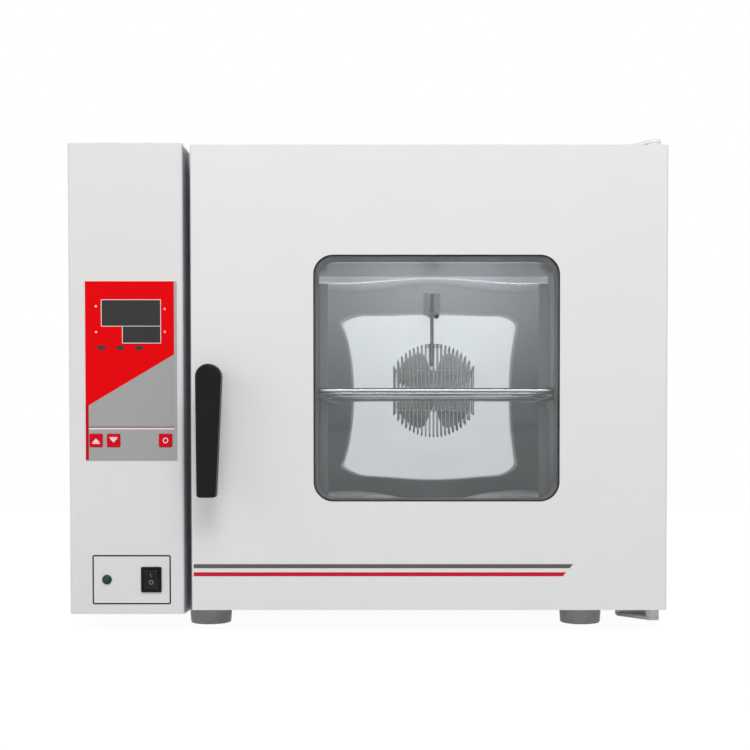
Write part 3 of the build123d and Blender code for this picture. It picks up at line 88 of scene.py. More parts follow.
# White of the print, also used for the painted highlight on the film's left and top edges
WHITE_PRINT_AND_HIGHLIGHT = (0.82, 0.80, 0.80)
PRINT_MAROON = (0.30, 0.03, 0.06)
INK_BLACK = (0.014, 0.014, 0.016)
MARK_GREY = (0.30, 0.30, 0.30)
LENS_GREEN = (0.008, 0.085, 0.08)
LENS_DEEP_GREEN = (0.004, 0.045, 0.042)
HANDLE_BLACK = (0.009, 0.009, 0.009)
SWITCH_BLACK = (0.008, 0.008, 0.008)
SEAL_BLACK = (0.012, 0.012, 0.014)
# Painted shade and painted light of the mirror panel: a darker colour low, a brighter one high
MIRROR_PAINTED_SHADE = (0.79, 0.83, 0.83)
MIRROR_PAINTED_LIGHT = (0.91, 0.95, 1.0)
MIRROR_MARK = (0.5, 0.52, 0.53)


# Shader trees, with the half width of the soft edges between printed colours
PRINT_EDGE = 0.05 * MM


class Finish:
    """One material: a Principled shader and short calls for the nodes that drive it."""

    def __init__(self, name, colour, roughness, **inputs):
        self.material = bpy.data.materials.new(name)
        self.material.use_nodes = True
        self.tree = self.material.node_tree
        self.tree.nodes.clear()
        self.output = self.tree.nodes.new("ShaderNodeOutputMaterial")
        self.shader = self.tree.nodes.new("ShaderNodeBsdfPrincipled")
        self.join(self.shader.outputs[0], self.output.inputs["Surface"])
        self.place = self.tree.nodes.new("ShaderNodeTexCoord").outputs["Object"]
        self.drive(**{"Base Color": colour, "Roughness": roughness}, **inputs)

    def join(self, source, socket):
        """Link an output to a socket."""
        self.tree.links.new(source, socket)

    def give(self, socket, value):
        """Put a number, a colour or another node's output on a socket."""
        if isinstance(value, bpy.types.NodeSocket):
            self.join(value, socket)
        elif isinstance(value, (tuple, list)) and len(value) == 3 and socket.type == "RGBA":
            socket.default_value = (*value, 1)
        else:
            socket.default_value = value

    def drive(self, **inputs):
        """Set the Principled shader's sockets by name, with underscores for spaces."""
        for name, value in inputs.items():
            self.give(self.shader.inputs[name.replace("_", " ")], value)

    def add(self, kind, settings=None, inputs=None):
        """A node of a kind, with its settings and its inputs by name or number."""
        node = self.tree.nodes.new("ShaderNode" + kind)
        for name, value in (settings or {}).items():
            setattr(node, name, value)
        for name, value in (inputs or {}).items():
            self.give(node.inputs[name], value)
        return node

    def maths(self, operation, first, second=0.0, third=0.0):
        """Output of one Math node."""
        inputs = {0: first, 1: second, 2: third}
        return self.add("Math", {"operation": operation}, inputs).outputs[0]

    def axis(self, name):
        """One coordinate of the surface point in the row frame, in metres."""
        return self.add("SeparateXYZ", None, {0: self.place}).outputs[name]

    def noise(self, scale, detail=2.0, stretch=(1, 1, 1), roughness=0.5):
        """Noise from 0 to 1, with scale cells to the metre, drawn out where stretch is small."""
        where = self.add("Mapping", None, {"Vector": self.place, "Scale": stretch}).outputs[0]
        inputs = {"Vector": where, "Scale": scale, "Detail": detail, "Roughness": roughness}
        return self.add("TexNoise", None, inputs).outputs[0]

    def cells(self, scale):
        """Distance to the nearest of scattered points, with scale points to the metre."""
        inputs = {"Vector": self.place, "Scale": scale}
        return self.add("TexVoronoi", None, inputs).outputs["Distance"]

    def spread(self, value, low, high, to_low=0.0, to_high=1.0):
        """A value remapped from one range to another and kept in it."""
        inputs = {0: value, 1: low, 2: high, 3: to_low, 4: to_high}
        return self.add("MapRange", {"clamp": True}, inputs).outputs[0]

    def mix(self, factor, first, second):
        """Two colours mixed by a factor."""
        node = self.add("Mix", {"data_type": "RGBA"}, {0: factor})
        self.give(node.inputs[6], first)
        self.give(node.inputs[7], second)
        return node.outputs[2]

    def bump(self, height, depth, strength=1.0):
        """Bump of a real depth in metres, onto the shader's normal."""
        inputs = {"Height": height, "Distance": depth, "Strength": strength}
        self.join(self.add("Bump", None, inputs).outputs[0], self.shader.inputs["Normal"])

    def both(self, first, second):
        """Product of two values, so 1 where two masks are both 1."""
        return self.maths("MULTIPLY", first, second)

    def inside(self, value, low, high):
        """1 where a value lies between two bounds, with a soft edge."""
        rise = self.spread(value, low - PRINT_EDGE, low + PRINT_EDGE)
        fall = self.spread(value, high - PRINT_EDGE, high + PRINT_EDGE, 1.0, 0.0)
        return self.both(rise, fall)

    def pane(self, across, up):
        """Mask of an upright rectangle given by its spans in X and Z."""
        return self.both(self.inside(self.axis("X"), *across), self.inside(self.axis("Z"), *up))

    def radius(self, x, z):
        """Distance from an axis along Y through (x, z)."""
        along = self.maths("SUBTRACT", self.axis("X"), x)
        above = self.maths("SUBTRACT", self.axis("Z"), z)
        squares = self.maths("ADD", self.both(along, along), self.both(above, above))
        return self.maths("SQRT", squares)


def shades(colour, share):
    """A colour a share darker and the same share lighter."""
    dark = tuple(channel * (1 - share) for channel in colour)
    light = tuple(min(1.0, channel * (1 + share)) for channel in colour)
    return dark, light


# Paints
COAT_ROUGHNESS = 0.42
PEEL_DEPTH = 0.12 * MM
# Height below which the lower hinge plate gets painted shade
PLATE_TOP = 17.6 * MM


def orange_peel(finish):
    """Close uneven surface of a powder coat."""
    peel = finish.noise(420, 3, roughness=0.6)
    finish.drive(Roughness=finish.spread(peel, 0.3, 0.7, COAT_ROUGHNESS - 0.06, COAT_ROUGHNESS + 0.08))
    finish.bump(peel, PEEL_DEPTH, 0.35)


def powder_coat(name, colour):
    """Fine textured powder coat with faint cloudiness."""
    finish = Finish(name, colour, COAT_ROUGHNESS, Specular_IOR_Level=0.4)
    dark, light = shades(colour, 0.018)
    finish.drive(Base_Color=finish.mix(finish.noise(9, 3), dark, light))
    orange_peel(finish)
    return finish.material


def bracket_coat():
    """White coat of the hinge brackets, with painted shade: greyer on the plate under the lower one,
    where shade falls under the door.
    """
    finish = Finish("bracket_paint", BRACKET_WHITE, COAT_ROUGHNESS, Specular_IOR_Level=0.2)
    # Painted shade: the plate below PLATE_TOP is greyer, as it lies in shade under the door
    above = finish.spread(finish.axis("Z"), PLATE_TOP, PLATE_TOP + 4 * PRINT_EDGE)
    finish.drive(Base_Color=finish.mix(above, PLATE_SHADE_GREY, BRACKET_WHITE))
    orange_peel(finish)
    return finish.material


def steel_sheet(name, colour, roughness, stretch, marks=0.12):
    """Satin or bright sheet with rolling marks drawn out along one axis."""
    finish = Finish(name, colour, roughness, Metallic=0.75)
    lines = finish.noise(700, 4, stretch, 0.7)
    dark, light = shades(colour, marks)
    finish.drive(Base_Color=finish.mix(lines, dark, light))
    cloud = finish.noise(14, 2)
    rough = finish.maths("ADD", finish.both(lines, 0.10), finish.both(cloud, 0.06))
    finish.drive(Roughness=finish.maths("ADD", rough, roughness - 0.08))
    finish.bump(lines, 0.03 * MM, 0.25)
    return finish.material


def drawn_metal(name, colour, roughness, scale=900, depth=0.02, metal=1.0):
    """Drawn, turned or plated metal with fine uneven brightness."""
    finish = Finish(name, colour, roughness, Metallic=metal)
    grain = finish.noise(scale, 3)
    dark, light = shades(colour, 0.10)
    finish.drive(Base_Color=finish.mix(grain, dark, light))
    finish.drive(Roughness=finish.spread(grain, 0.25, 0.75, roughness - 0.05, roughness + 0.08))
    finish.bump(grain, depth * MM, 0.3)
    return finish.material


def moulded(name, colour, roughness, scale=1400, depth=0.05, share=0.12, shine=0.4):
    """Moulded plastic or rubber with a fine grain."""
    finish = Finish(name, colour, roughness, Specular_IOR_Level=shine)
    grain = finish.cells(scale)
    dark, light = shades(colour, share)
    finish.drive(Base_Color=finish.mix(finish.noise(60, 3), dark, light))
    finish.drive(Roughness=finish.spread(grain, 0.0, 0.6, roughness + 0.06, roughness - 0.05))
    finish.bump(grain, depth * MM, 0.4)
    return finish.material


# Thickness of one stamped sheet and of one enamelled wire
LAMINATION = 0.5 * MM
WIRE_TURN = 0.6 * MM


def fibrous(name, colour):
    """Mineral wool: matted fibres in layers."""
    finish = Finish(name, colour, 0.95)
    fibres = finish.noise(260, 5, (1, 1, 0.25), 0.75)
    dark, light = shades(colour, 0.25)
    finish.drive(Base_Color=finish.mix(fibres, dark, light))
    finish.bump(fibres, 1.5 * MM, 0.8)
    return finish.material


def laminations(name, colour):
    """Stamped sheets stacked along Y, each with its own edge."""
    finish = Finish(name, colour, 0.45, Metallic=1.0)
    sheets = finish.maths("FRACT", finish.both(finish.axis("Y"), 1 / LAMINATION))
    edge = finish.spread(sheets, 0.0, 0.25)
    dark, light = shades(colour, 0.3)
    finish.drive(Base_Color=finish.mix(edge, dark, light))
    finish.drive(Roughness=finish.spread(finish.noise(500), 0.3, 0.7, 0.38, 0.55))
    finish.bump(edge, 0.08 * MM, 0.6)
    return finish.material


def winding(name, colour):
    """Enamelled wire laid turn by turn."""
    finish = Finish(name, colour, 0.32, Metallic=0.6)
    turns = finish.maths("PINGPONG", finish.both(finish.axis("Z"), 1 / WIRE_TURN), 0.5)
    dark, light = shades(colour, 0.35)
    finish.drive(Base_Color=finish.mix(finish.both(turns, 2.0), dark, light))
    finish.drive(Roughness=finish.spread(finish.noise(300), 0.3, 0.7, 0.25, 0.42))
    finish.bump(turns, 0.2 * MM, 0.7)
    return finish.material


def clear_glass(name, tint):
    """Thin clear pane: light passes straight, a little is mirrored, more at a low angle."""
    finish = Finish(name, tint, 0.02)
    clear = finish.add("BsdfTransparent", None, {"Color": tint}).outputs[0]
    smear = finish.spread(finish.noise(30, 4), 0.35, 0.75, 0.008, 0.03)
    gloss = finish.add("BsdfGlossy", None, {"Roughness": smear}).outputs[0]
    facing = finish.add("Fresnel", None, {"IOR": 1.38}).outputs[0]
    pane = finish.add("MixShader", None, {0: facing, 1: clear, 2: gloss}).outputs[0]
    finish.join(pane, finish.output.inputs["Surface"])
    finish.tree.nodes.remove(finish.shader)
    return finish.material


def smoked_lens(name, colour, edge_colour):
    """Smooth dark acrylic with a faint cloud in it."""
    finish = Finish(name, colour, 0.12, Specular_IOR_Level=0.15)
    cloud = finish.noise(40, 2)
    finish.drive(Base_Color=finish.mix(cloud, colour, edge_colour))
    finish.drive(Roughness=finish.spread(cloud, 0.3, 0.7, 0.1, 0.18))
    return finish.material


# Print on the overlay: red over grey, divided by a slanted edge, with strips, lines and display
# borders, and a painted highlight along its left and top edges
RED_STRIP = 4.5 * MM
GREY_STRIP = 3.1 * MM
FILM_HIGHLIGHT_EDGE = 0.7 * MM
SLANT_LEFT_RISE = 66.5 * MM
SLANT_RIGHT_RISE = 128.6 * MM
MAROON_RISE = (39.6 * MM, 40.8 * MM)
WHITE_RISE = (37.4 * MM, 39.2 * MM)
DISPLAY_BORDER = 0.9 * MM


def overlay_print():
    """Printed film of the control panel, with a fine matte grain and a painted highlight along its left
    and top edges.
    """
    finish = Finish("overlay_print", PRINT_GREY, 0.3)
    x, z = finish.axis("X"), finish.axis("Z")
    left, right = overlay_low.x, overlay_high.x
    bottom, top = overlay_low.z, overlay_high.z
    slant_left, slant_right = left + RED_STRIP, right - GREY_STRIP
    slope = (SLANT_RIGHT_RISE - SLANT_LEFT_RISE) / (slant_right - slant_left)
    edge_z = finish.maths("MULTIPLY_ADD", x, slope, bottom + SLANT_LEFT_RISE - slope * slant_left)
    above = finish.spread(finish.maths("SUBTRACT", z, edge_z), -PRINT_EDGE, PRINT_EDGE)
    film = finish.mix(above, PRINT_GREY, PRINT_RED)
    lines_across = (slant_left, slant_right)
    for rise, ink in ((MAROON_RISE, PRINT_MAROON), (WHITE_RISE, WHITE_PRINT_AND_HIGHLIGHT)):
        film = finish.mix(finish.pane(lines_across, (bottom + rise[0], bottom + rise[1])), film, ink)
    film = finish.mix(finish.pane((slant_right, right), (bottom, top)), film, PRINT_PALE_GREY)
    strip_up = (bottom, bottom + SLANT_LEFT_RISE)
    film = finish.mix(finish.pane((left, slant_left), strip_up), film, PRINT_DARK_RED)
    for across, up in display_panes:
        outer = finish.pane(
            (across[0] - DISPLAY_BORDER, across[1] + DISPLAY_BORDER),
            (up[0] - DISPLAY_BORDER, up[1] + DISPLAY_BORDER),
        )
        film = finish.mix(outer, film, WHITE_PRINT_AND_HIGHLIGHT)
    # Painted highlight: white lines along the film's left and top edges, where the light catches them
    film = finish.mix(finish.pane((left, left + FILM_HIGHLIGHT_EDGE), (bottom, top)), film, WHITE_PRINT_AND_HIGHLIGHT)
    film = finish.mix(finish.pane((left, right), (top - FILM_HIGHLIGHT_EDGE, top)), film, WHITE_PRINT_AND_HIGHLIGHT)
    finish.drive(Base_Color=film)
    grain = finish.cells(1800)
    finish.drive(Roughness=finish.spread(grain, 0.0, 0.6, 0.42, 0.3), Specular_IOR_Level=0.08)
    finish.bump(grain, 0.02 * MM, 0.25)
    return finish.material


def lens_panes():
    """Spans of the two display lenses, read from the corners of their mesh."""
    corners = [v.co for v in nodes["display_lenses"].data.vertices]
    step_x = sorted({round(c.x, 5) for c in corners})
    step_z = sorted({round(c.z, 5) for c in corners})
    upper = ((step_x[0], step_x[-1]), (step_z[-2], step_z[-1]))
    lower = ((step_x[1], step_x[-1]), (step_z[0], step_z[1]))
    return [upper, lower]


display_panes = lens_panes()

# Lamp beside the power switch: its lens, rim and ribs
LENS_RADIUS = 4.6 * MM
LENS_RIM = (4.5 * MM, 4.9 * MM)
LENS_RIB = 0.7 * MM


def pilot_lens():
    """Dark green lamp lens in a black rim."""
    finish = Finish("lamp_green", LENS_GREEN, 0.15, Specular_IOR_Level=0.2)
    distance = finish.radius(lamp_x, lamp_z)
    rim = finish.spread(distance, *LENS_RIM)
    lens = finish.mix(finish.spread(distance, 0.0, LENS_RADIUS), LENS_GREEN, LENS_DEEP_GREEN)
    finish.drive(Base_Color=finish.mix(rim, lens, INK_BLACK))
    ribs = finish.maths("PINGPONG", finish.both(distance, 1 / LENS_RIB), 0.5)
    finish.drive(Roughness=finish.spread(rim, 0.0, 1.0, 0.12, 0.4))
    finish.bump(ribs, 0.08 * MM, 0.3)
    return finish.material


# Marks on the rocker: a bar on its upper half and a ring on its lower one
MARK_STROKE = 0.7 * MM
ON_BAR_RISE = (3.3 * MM, 8.2 * MM)
OFF_RING_DROP = 3.2 * MM
OFF_RING_RADIUS = 2.3 * MM


def rocker_black():
    """Black rocker with its printed bar and ring, one on each half of the paddle."""
    finish = Finish("rocker_black", INK_BLACK, 0.28, Specular_IOR_Level=0.15)
    half = MARK_STROKE / 2
    bar_up = (rocker_z + ON_BAR_RISE[0], rocker_z + ON_BAR_RISE[1])
    bar = finish.pane((rocker_x - half, rocker_x + half), bar_up)
    distance = finish.radius(rocker_x, rocker_z - OFF_RING_DROP)
    ring = finish.inside(distance, OFF_RING_RADIUS - half, OFF_RING_RADIUS + half)
    marks = finish.maths("MAXIMUM", bar, ring)
    cloud = finish.mix(finish.noise(80, 3), *shades(INK_BLACK, 0.3))
    finish.drive(Base_Color=finish.mix(marks, cloud, MARK_GREY))
    grain = finish.cells(1500)
    finish.drive(Roughness=finish.spread(grain, 0.0, 0.6, 0.36, 0.26))
    finish.bump(grain, 0.03 * MM, 0.3)
    return finish.material


# Mirror panel: hazier towards its top, with painted light in its colour, darker below and brighter
# towards the top, and a little out of flat, as thin polished sheet is.
# Each pair holds a height that grows across and one that grows up, as reached at BOW_SPAN from
# the panel's middle along that axis or, for twist, saddle and corner lift, along both axes.
PAINTED_LIGHT_AND_HAZE_Z = (160 * MM, 450 * MM)
BOW_SPAN = 150 * MM
SHEET_LEAN = (0.25 * MM, 1.49 * MM)
SHEET_TWIST = (-0.06 * MM, 0.16 * MM)
SHEET_HOLLOW = (-3.95 * MM, -2.56 * MM)
SHEET_SADDLE = (0.11 * MM, 0.11 * MM)
SHEET_EDGE_LIFT = (2.63 * MM, 2.04 * MM)
SHEET_CORNER_LIFT = (1.59 * MM, -1.26 * MM)


def bow_height(finish):
    """How far the sheet stands forward, in metres: a sum of powers of the place from its middle."""
    across = finish.both(finish.maths("SUBTRACT", finish.axis("X"), window_x), 1 / BOW_SPAN)
    up = finish.both(finish.maths("SUBTRACT", finish.axis("Z"), window_z), 1 / BOW_SPAN)
    height = 0.0
    for place, other, turn in ((across, up, 0), (up, across, 1)):
        square = finish.both(place, place)
        fourth = finish.both(square, square)
        side = finish.both(other, other)
        for power, amounts in (
            (place, SHEET_LEAN),
            (finish.both(place, side), SHEET_TWIST),
            (square, SHEET_HOLLOW),
            (finish.both(square, side), SHEET_SADDLE),
            (fourth, SHEET_EDGE_LIFT),
            (finish.both(fourth, side), SHEET_CORNER_LIFT),
        ):
            height = finish.maths("MULTIPLY_ADD", power, amounts[turn], height)
    return height


def mirror_steel():
    """Polished back wall with faint upright polishing marks, and painted light: its colour darker below
    and brighter towards the top.
    """
    finish = Finish("polished_steel", MIRROR_PAINTED_LIGHT, 0.02)
    painted_light_and_haze = finish.spread(finish.axis("Z"), *PAINTED_LIGHT_AND_HAZE_Z)
    marks = finish.noise(500, 3, (1, 1, 0.03), 0.6)
    # Painted light: the mirror's colour runs from a darker one below to a brighter one at the top
    base = finish.mix(painted_light_and_haze, MIRROR_PAINTED_SHADE, MIRROR_PAINTED_LIGHT)
    worn = finish.mix(finish.spread(marks, 0.3, 0.9, 0.0, 0.06), base, MIRROR_MARK)
    finish.drive(Base_Color=worn, Metallic=finish.spread(painted_light_and_haze, 0.0, 1.0, 0.85, 0.74))
    finish.drive(Roughness=finish.spread(marks, 0.3, 0.8, 0.015, 0.04))
    finish.bump(bow_height(finish), 1.0)
    return finish.material


FINISHES = {
    "cabinet_paint": powder_coat("cabinet_paint", BOX_WHITE),
    "door_paint": powder_coat("door_paint", DOOR_WHITE),
    "bracket_paint": bracket_coat(),
    "satin_steel": steel_sheet("satin_steel", (0.42, 0.44, 0.46), 0.42, (1, 1, 0.04)),
    "polished_steel": mirror_steel(),
    "bright_wire": drawn_metal("bright_wire", (0.78, 0.79, 0.80), 0.16),
    "fan_aluminium": drawn_metal("fan_aluminium", (0.78, 0.80, 0.82), 0.32, 300, metal=0.4),
    "window_glass": clear_glass("window_glass", (0.98, 0.983, 0.983)),
    "window_border": moulded("window_border", (0.30, 0.31, 0.325), 0.5, 900, 0.04),
    "mineral_wool": fibrous("mineral_wool", (0.78, 0.74, 0.62)),
    "foot_rubber": moulded("foot_rubber", (0.72, 0.72, 0.75), 0.5, 700, 0.08),
    "gasket_silicone": moulded("gasket_silicone", (0.42, 0.42, 0.43), 0.55, 900, 0.05),
    "handle_plastic": moulded("handle_plastic", HANDLE_BLACK, 0.4, 1300, 0.04, 0.25, shine=0.12),
    "switch_plastic": moulded("switch_plastic", SWITCH_BLACK, 0.3, 1500, 0.03, 0.25, shine=0.12),
    "machined_steel": drawn_metal("machined_steel", (0.50, 0.50, 0.52), 0.3, 500),
    "pin_bush_nylon": moulded("pin_bush_nylon", (0.74, 0.74, 0.72), 0.45),
    "heater_steel": drawn_metal("heater_steel", (0.30, 0.28, 0.26), 0.4, 200, 0.05),
    "core_laminations": laminations("core_laminations", (0.28, 0.29, 0.31)),
    "copper_winding": winding("copper_winding", (0.62, 0.32, 0.16)),
    "overlay_print": overlay_print(),
    "display_dark": smoked_lens("display_dark", (0.034, 0.034, 0.034), (0.042, 0.042, 0.042)),
    "indicator_dark": smoked_lens("indicator_dark", (0.05, 0.035, 0.04), (0.09, 0.05, 0.055)),
    "button_red": moulded("button_red", (0.72, 0.001, 0.012), 0.3, 1600, 0.02, 0.05, shine=0.1),
    "board_green": moulded("board_green", (0.05, 0.22, 0.10), 0.35, 400, 0.03),
    "lamp_green": pilot_lens(),
    "inlet_plastic": moulded("inlet_plastic", (0.02, 0.02, 0.022), 0.4, 1200, 0.04, 0.2),
    "cover_zinc": drawn_metal("cover_zinc", (0.62, 0.63, 0.65), 0.28, 600),
}
INK = {
    "ink_black": moulded("ink_black", INK_BLACK, 0.4, 1800, 0.01, 0.2, shine=0.1),
    "ink_white": moulded("ink_white", (0.80, 0.78, 0.78), 0.4, 1800, 0.01, 0.03),
    "stripe_red": moulded("stripe_red", (0.62, 0.014, 0.035), 0.4, 1800, 0.01, 0.04, shine=0.1),
    "stripe_grey": moulded("stripe_grey", (0.125, 0.112, 0.12), 0.4, 1800, 0.01, 0.06, shine=0.1),
    "seal_black": moulded("seal_black", SEAL_BLACK, 0.5, 1200, 0.04, 0.2, shine=0.1),
    # Painted shade: dark blue-grey for the sheet in the shaded gap beside the door
    "gap_shade_grey": moulded("gap_shade_grey", (0.33, 0.34, 0.39), 0.6, 900, 0.05, 0.15, shine=0.1),
}
rocker_finish = rocker_black()


def paint(thing, material):
    """Give an object one material."""
    thing.data.materials.clear()
    thing.data.materials.append(material)


for name, thing in nodes.items():
    paint(thing, FINISHES[slot_of[name]])
paint(nodes["rocker_paddle"], rocker_finish)


# Mesh helpers

def make_piece(name, mesh, body, material):
    """Link a mesh as a piece that rides on a body."""
    thing = bpy.data.objects.new(name, mesh)
    bpy.context.scene.collection.objects.link(thing)
    paint(thing, material)
    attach(thing, body)
    return thing


def round_loop(across, up, corner, steps=8):
    """Outline of an upright rectangle with round corners, as (x, z) points."""
    points = []
    left, right = across[0] + corner, across[1] - corner
    low, high = up[0] + corner, up[1] - corner
    for turn, (x, z) in enumerate(((right, high), (left, high), (left, low), (right, low))):
        for step in range(steps + 1):
            angle = (turn + step / steps) * pi / 2
            points.append((x + corner * cos(angle), z + corner * sin(angle)))
    return points


def ring_loop(x, z, radius, steps=32):
    """Circle as (x, z) points."""
    turns = [2 * pi * step / steps for step in range(steps)]
    return [(x + radius * cos(turn), z + radius * sin(turn)) for turn in turns]


def straight_loop(across, up):
    """Upright rectangle as (x, z) points."""
    return [(across[0], up[0]), (across[1], up[0]), (across[1], up[1]), (across[0], up[1])]


def add_plate(build, loops, front, back):
    """Add an upright plate to a bmesh: the first loop is its outline, the others are holes in it."""
    flat = [Vector((x, z, 0)) for loop in loops for x, z in loop]
    faces = tessellate_polygon([[Vector((x, z, 0)) for x, z in loop] for loop in loops])
    sides = []
    for y in (front, back):
        sides.append([build.verts.new((point.x, y, point.y)) for point in flat])
    for corners in faces:
        for side in sides:
            build.faces.new([side[i] for i in corners])
    first = 0
    for loop in loops:
        count = len(loop)
        for i in range(count):
            a, b = first + i, first + (i + 1) % count
            build.faces.new((sides[0][a], sides[0][b], sides[1][b], sides[1][a]))
        first += count


def finish_mesh(name, build):
    """Turn a bmesh into a mesh with its faces pointing out."""
    bmesh.ops.recalc_face_normals(build, faces=build.faces[:])
    mesh = bpy.data.meshes.new(name)
    build.to_mesh(mesh)
    build.free()
    return mesh


def plate(name, loops, front, back, body, material):
    """A piece that is one upright plate."""
    build = bmesh.new()
    add_plate(build, loops, front, back)
    return make_piece(name, finish_mesh(name, build), body, material)


# Rubber seal round the window's edge, between the door's skin and the glass
WINDOW_HALF = 150 * MM
WINDOW_CORNER = 24 * MM
SEAL_WIDTH = 1.1 * MM
SEAL_PROUD = 0.25 * MM
SEAL_DEPTH = 1.15 * MM
SEAL_CLEARANCE = 0.02 * MM
SEAL_STEPS = 12


def square_loop(half, corner):
    """Round-cornered square about the window's middle."""
    across = (window_x - half, window_x + half)
    return round_loop(across, (window_z - half, window_z + half), corner, SEAL_STEPS)


plate(
    "window_seal",
    [
        square_loop(WINDOW_HALF - SEAL_CLEARANCE, WINDOW_CORNER),
        square_loop(WINDOW_HALF - SEAL_WIDTH, WINDOW_CORNER - SEAL_WIDTH),
    ],
    front_y - SEAL_PROUD,
    front_y + SEAL_DEPTH,
    "door",
    INK["seal_black"],
)

# Two printed stripes low on the door, with slanted right ends
STRIPE_INK = 0.12 * MM
STRIPE_INSETS = (2.7 * MM, 114.6 * MM)
STRIPE_SLANT = 0.85
STRIPE_WIDTH = 4.9 * MM
STRIPE_RISES = {"stripe_grey": 51.3 * MM, "stripe_red": 41.4 * MM}
stripe_left = door_low.x + STRIPE_INSETS[0]
stripe_right = door_high.x - STRIPE_INSETS[1]
stripe_top = door_low.z + max(STRIPE_RISES.values()) + STRIPE_WIDTH
for stripe, rise in STRIPE_RISES.items():
    low = door_low.z + rise
    high = low + STRIPE_WIDTH
    outline = [
        (stripe_left, low),
        (stripe_right - STRIPE_SLANT * (stripe_top - low), low),
        (stripe_right - STRIPE_SLANT * (stripe_top - high), high),
        (stripe_left, high),
    ]
    plate("door_" + stripe, [outline], front_y - STRIPE_INK, front_y, "door", INK[stripe])

# Dark screw of the probe's bracket, on the chamber's back wall
SCREW_SHIFT = 4.5 * MM
SCREW_RISE = 114 * MM
SCREW_RADIUS = 3.7 * MM
SCREW_FACE = 2 * MM
SCREW_BACK = 0.2 * MM
plate(
    "bracket_screw",
    [ring_loop(window_x + SCREW_SHIFT, window_z + SCREW_RISE, SCREW_RADIUS, 28)],
    panel_low.y - SCREW_FACE,
    panel_low.y - SCREW_BACK,
    "cabinet",
    INK["seal_black"],
)

# Painted shade: a dark grey sheet on the control box's side, in the gap beside the door, where shade
# falls
SHADE_SHEET_FRONT = 2 * MM
SHADE_SHEET_BACK = 44 * MM
SHADE_SHEET_THICK = 0.3 * MM
SHADE_SHEET_END = 3 * MM
shade_sheet_across = (control_high.x, control_high.x + SHADE_SHEET_THICK)
shade_sheet_up = (control_low.z + SHADE_SHEET_END, control_high.z - SHADE_SHEET_END)
plate(
    "gap_shade_sheet",
    [straight_loop(shade_sheet_across, shade_sheet_up)],
    front_y + SHADE_SHEET_FRONT,
    front_y + SHADE_SHEET_BACK,
    "cabinet",
    INK["gap_shade_grey"],
)

# Printed line round the lamp and the power rocker
FRAME_LINE = 1.7 * MM
FRAME_CORNER = 2.4 * MM
FRAME_INSETS = (28.0 * MM, 16.2 * MM)
FRAME_RISES = (12.0 * MM, 72.4 * MM)
frame_across = (control_low.x + FRAME_INSETS[0], control_high.x - FRAME_INSETS[1])
frame_up = (control_low.z + FRAME_RISES[0], control_low.z + FRAME_RISES[1])
plate(
    "power_panel_line",
    [
        round_loop(frame_across, frame_up, FRAME_CORNER),
        round_loop(
            (frame_across[0] + FRAME_LINE, frame_across[1] - FRAME_LINE),
            (frame_up[0] + FRAME_LINE, frame_up[1] - FRAME_LINE),
            FRAME_CORNER - FRAME_LINE,
        ),
    ],
    front_y - STRIPE_INK,
    front_y,
    "cabinet",
    INK["ink_black"],
)

# Marks on the three buttons: an arrow up, an arrow down and a ring
ARROW_HALF = 4.6 * MM
ARROW_RISE = 4.6 * MM
ARROW_BAR = 1.5 * MM
ARROW_GAP = 0.3 * MM
RING_OUTER = 3.4 * MM
RING_INNER = 2.3 * MM


def button_marks():
    """White marks printed on the faces of the buttons."""
    for body, up in (("up_button", 1), ("down_button", -1), ("set_button", 0)):
        low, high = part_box(body)
        x, z = middle(low, high)
        marks = [[ring_loop(x, z, RING_OUTER), ring_loop(x, z, RING_INNER)]]
        if up:
            base = z - up * ARROW_RISE / 2
            across = (x - ARROW_HALF, x + ARROW_HALF)
            bar_up = sorted((base - up * ARROW_GAP, base - up * (ARROW_GAP + ARROW_BAR)))
            tip = [(across[0], base), (across[1], base), (x, base + up * ARROW_RISE)]
            marks = [[tip], [straight_loop(across, bar_up)]]
        build = bmesh.new()
        for loops in marks:
            add_plate(build, loops, low.y - STRIPE_INK, low.y + STRIPE_INK)
        mesh = finish_mesh(body + "_mark", build)
        make_piece(body + "_mark", mesh, body, INK["ink_white"])


button_marks()

# Small plain marks beside the displays, placed from the overlay's upper corners
MARK_RADIUS = 1.3 * MM
MARK_HOLE = 0.55 * MARK_RADIUS
MARK_STEPS = 20
DOT_INSET = 14.0 * MM
DOT_DROPS = (31.0 * MM, 62.1 * MM)
RING_INSET = 14.3 * MM
RING_DROPS = (34.2 * MM, 62.0 * MM)


def display_marks():
    """A dot left of each display and a small ring right of it."""
    back = overlay_low.y
    front = back - STRIPE_INK / 2
    build = bmesh.new()
    for drop in DOT_DROPS:
        x, z = overlay_low.x + DOT_INSET, overlay_high.z - drop
        add_plate(build, [ring_loop(x, z, MARK_RADIUS, MARK_STEPS)], front, back)
    for drop in RING_DROPS:
        x, z = overlay_high.x - RING_INSET, overlay_high.z - drop
        loops = [ring_loop(x, z, radius, MARK_STEPS) for radius in (MARK_RADIUS, MARK_HOLE)]
        add_plate(build, loops, front, back)
    mesh = finish_mesh("display_marks", build)
    make_piece("display_marks", mesh, "cabinet", INK["ink_white"])


display_marks()


# Cross-recessed heads of the rear covers' screws, which stand for the plain ones
SCREW_HEAD = 4.0 * MM
SCREW_EDGE = 0.8 * MM
SCREW_STEPS = 36
SCREW_TURN = radians(37)
SLOT_HALF = 0.55 * MM
SLOT_REACH = 2.3 * MM
SLOT_DEPTH = 1.2 * MM
HEAD_CORNERS = 8


def loose_parts(mesh):
    """Corner places of each loose part of a mesh."""
    build = bmesh.new()
    build.from_mesh(mesh)
    seen, parts = set(), []
    for vert in build.verts:
        if vert.index in seen:
            continue
        stack, part = [vert], []
        while stack:
            current = stack.pop()
            if current.index in seen:
                continue
            seen.add(current.index)
            part.append(current.co.copy())
            stack.extend(edge.other_vert(current) for edge in current.link_edges)
        parts.append(part)
    build.free()
    return parts


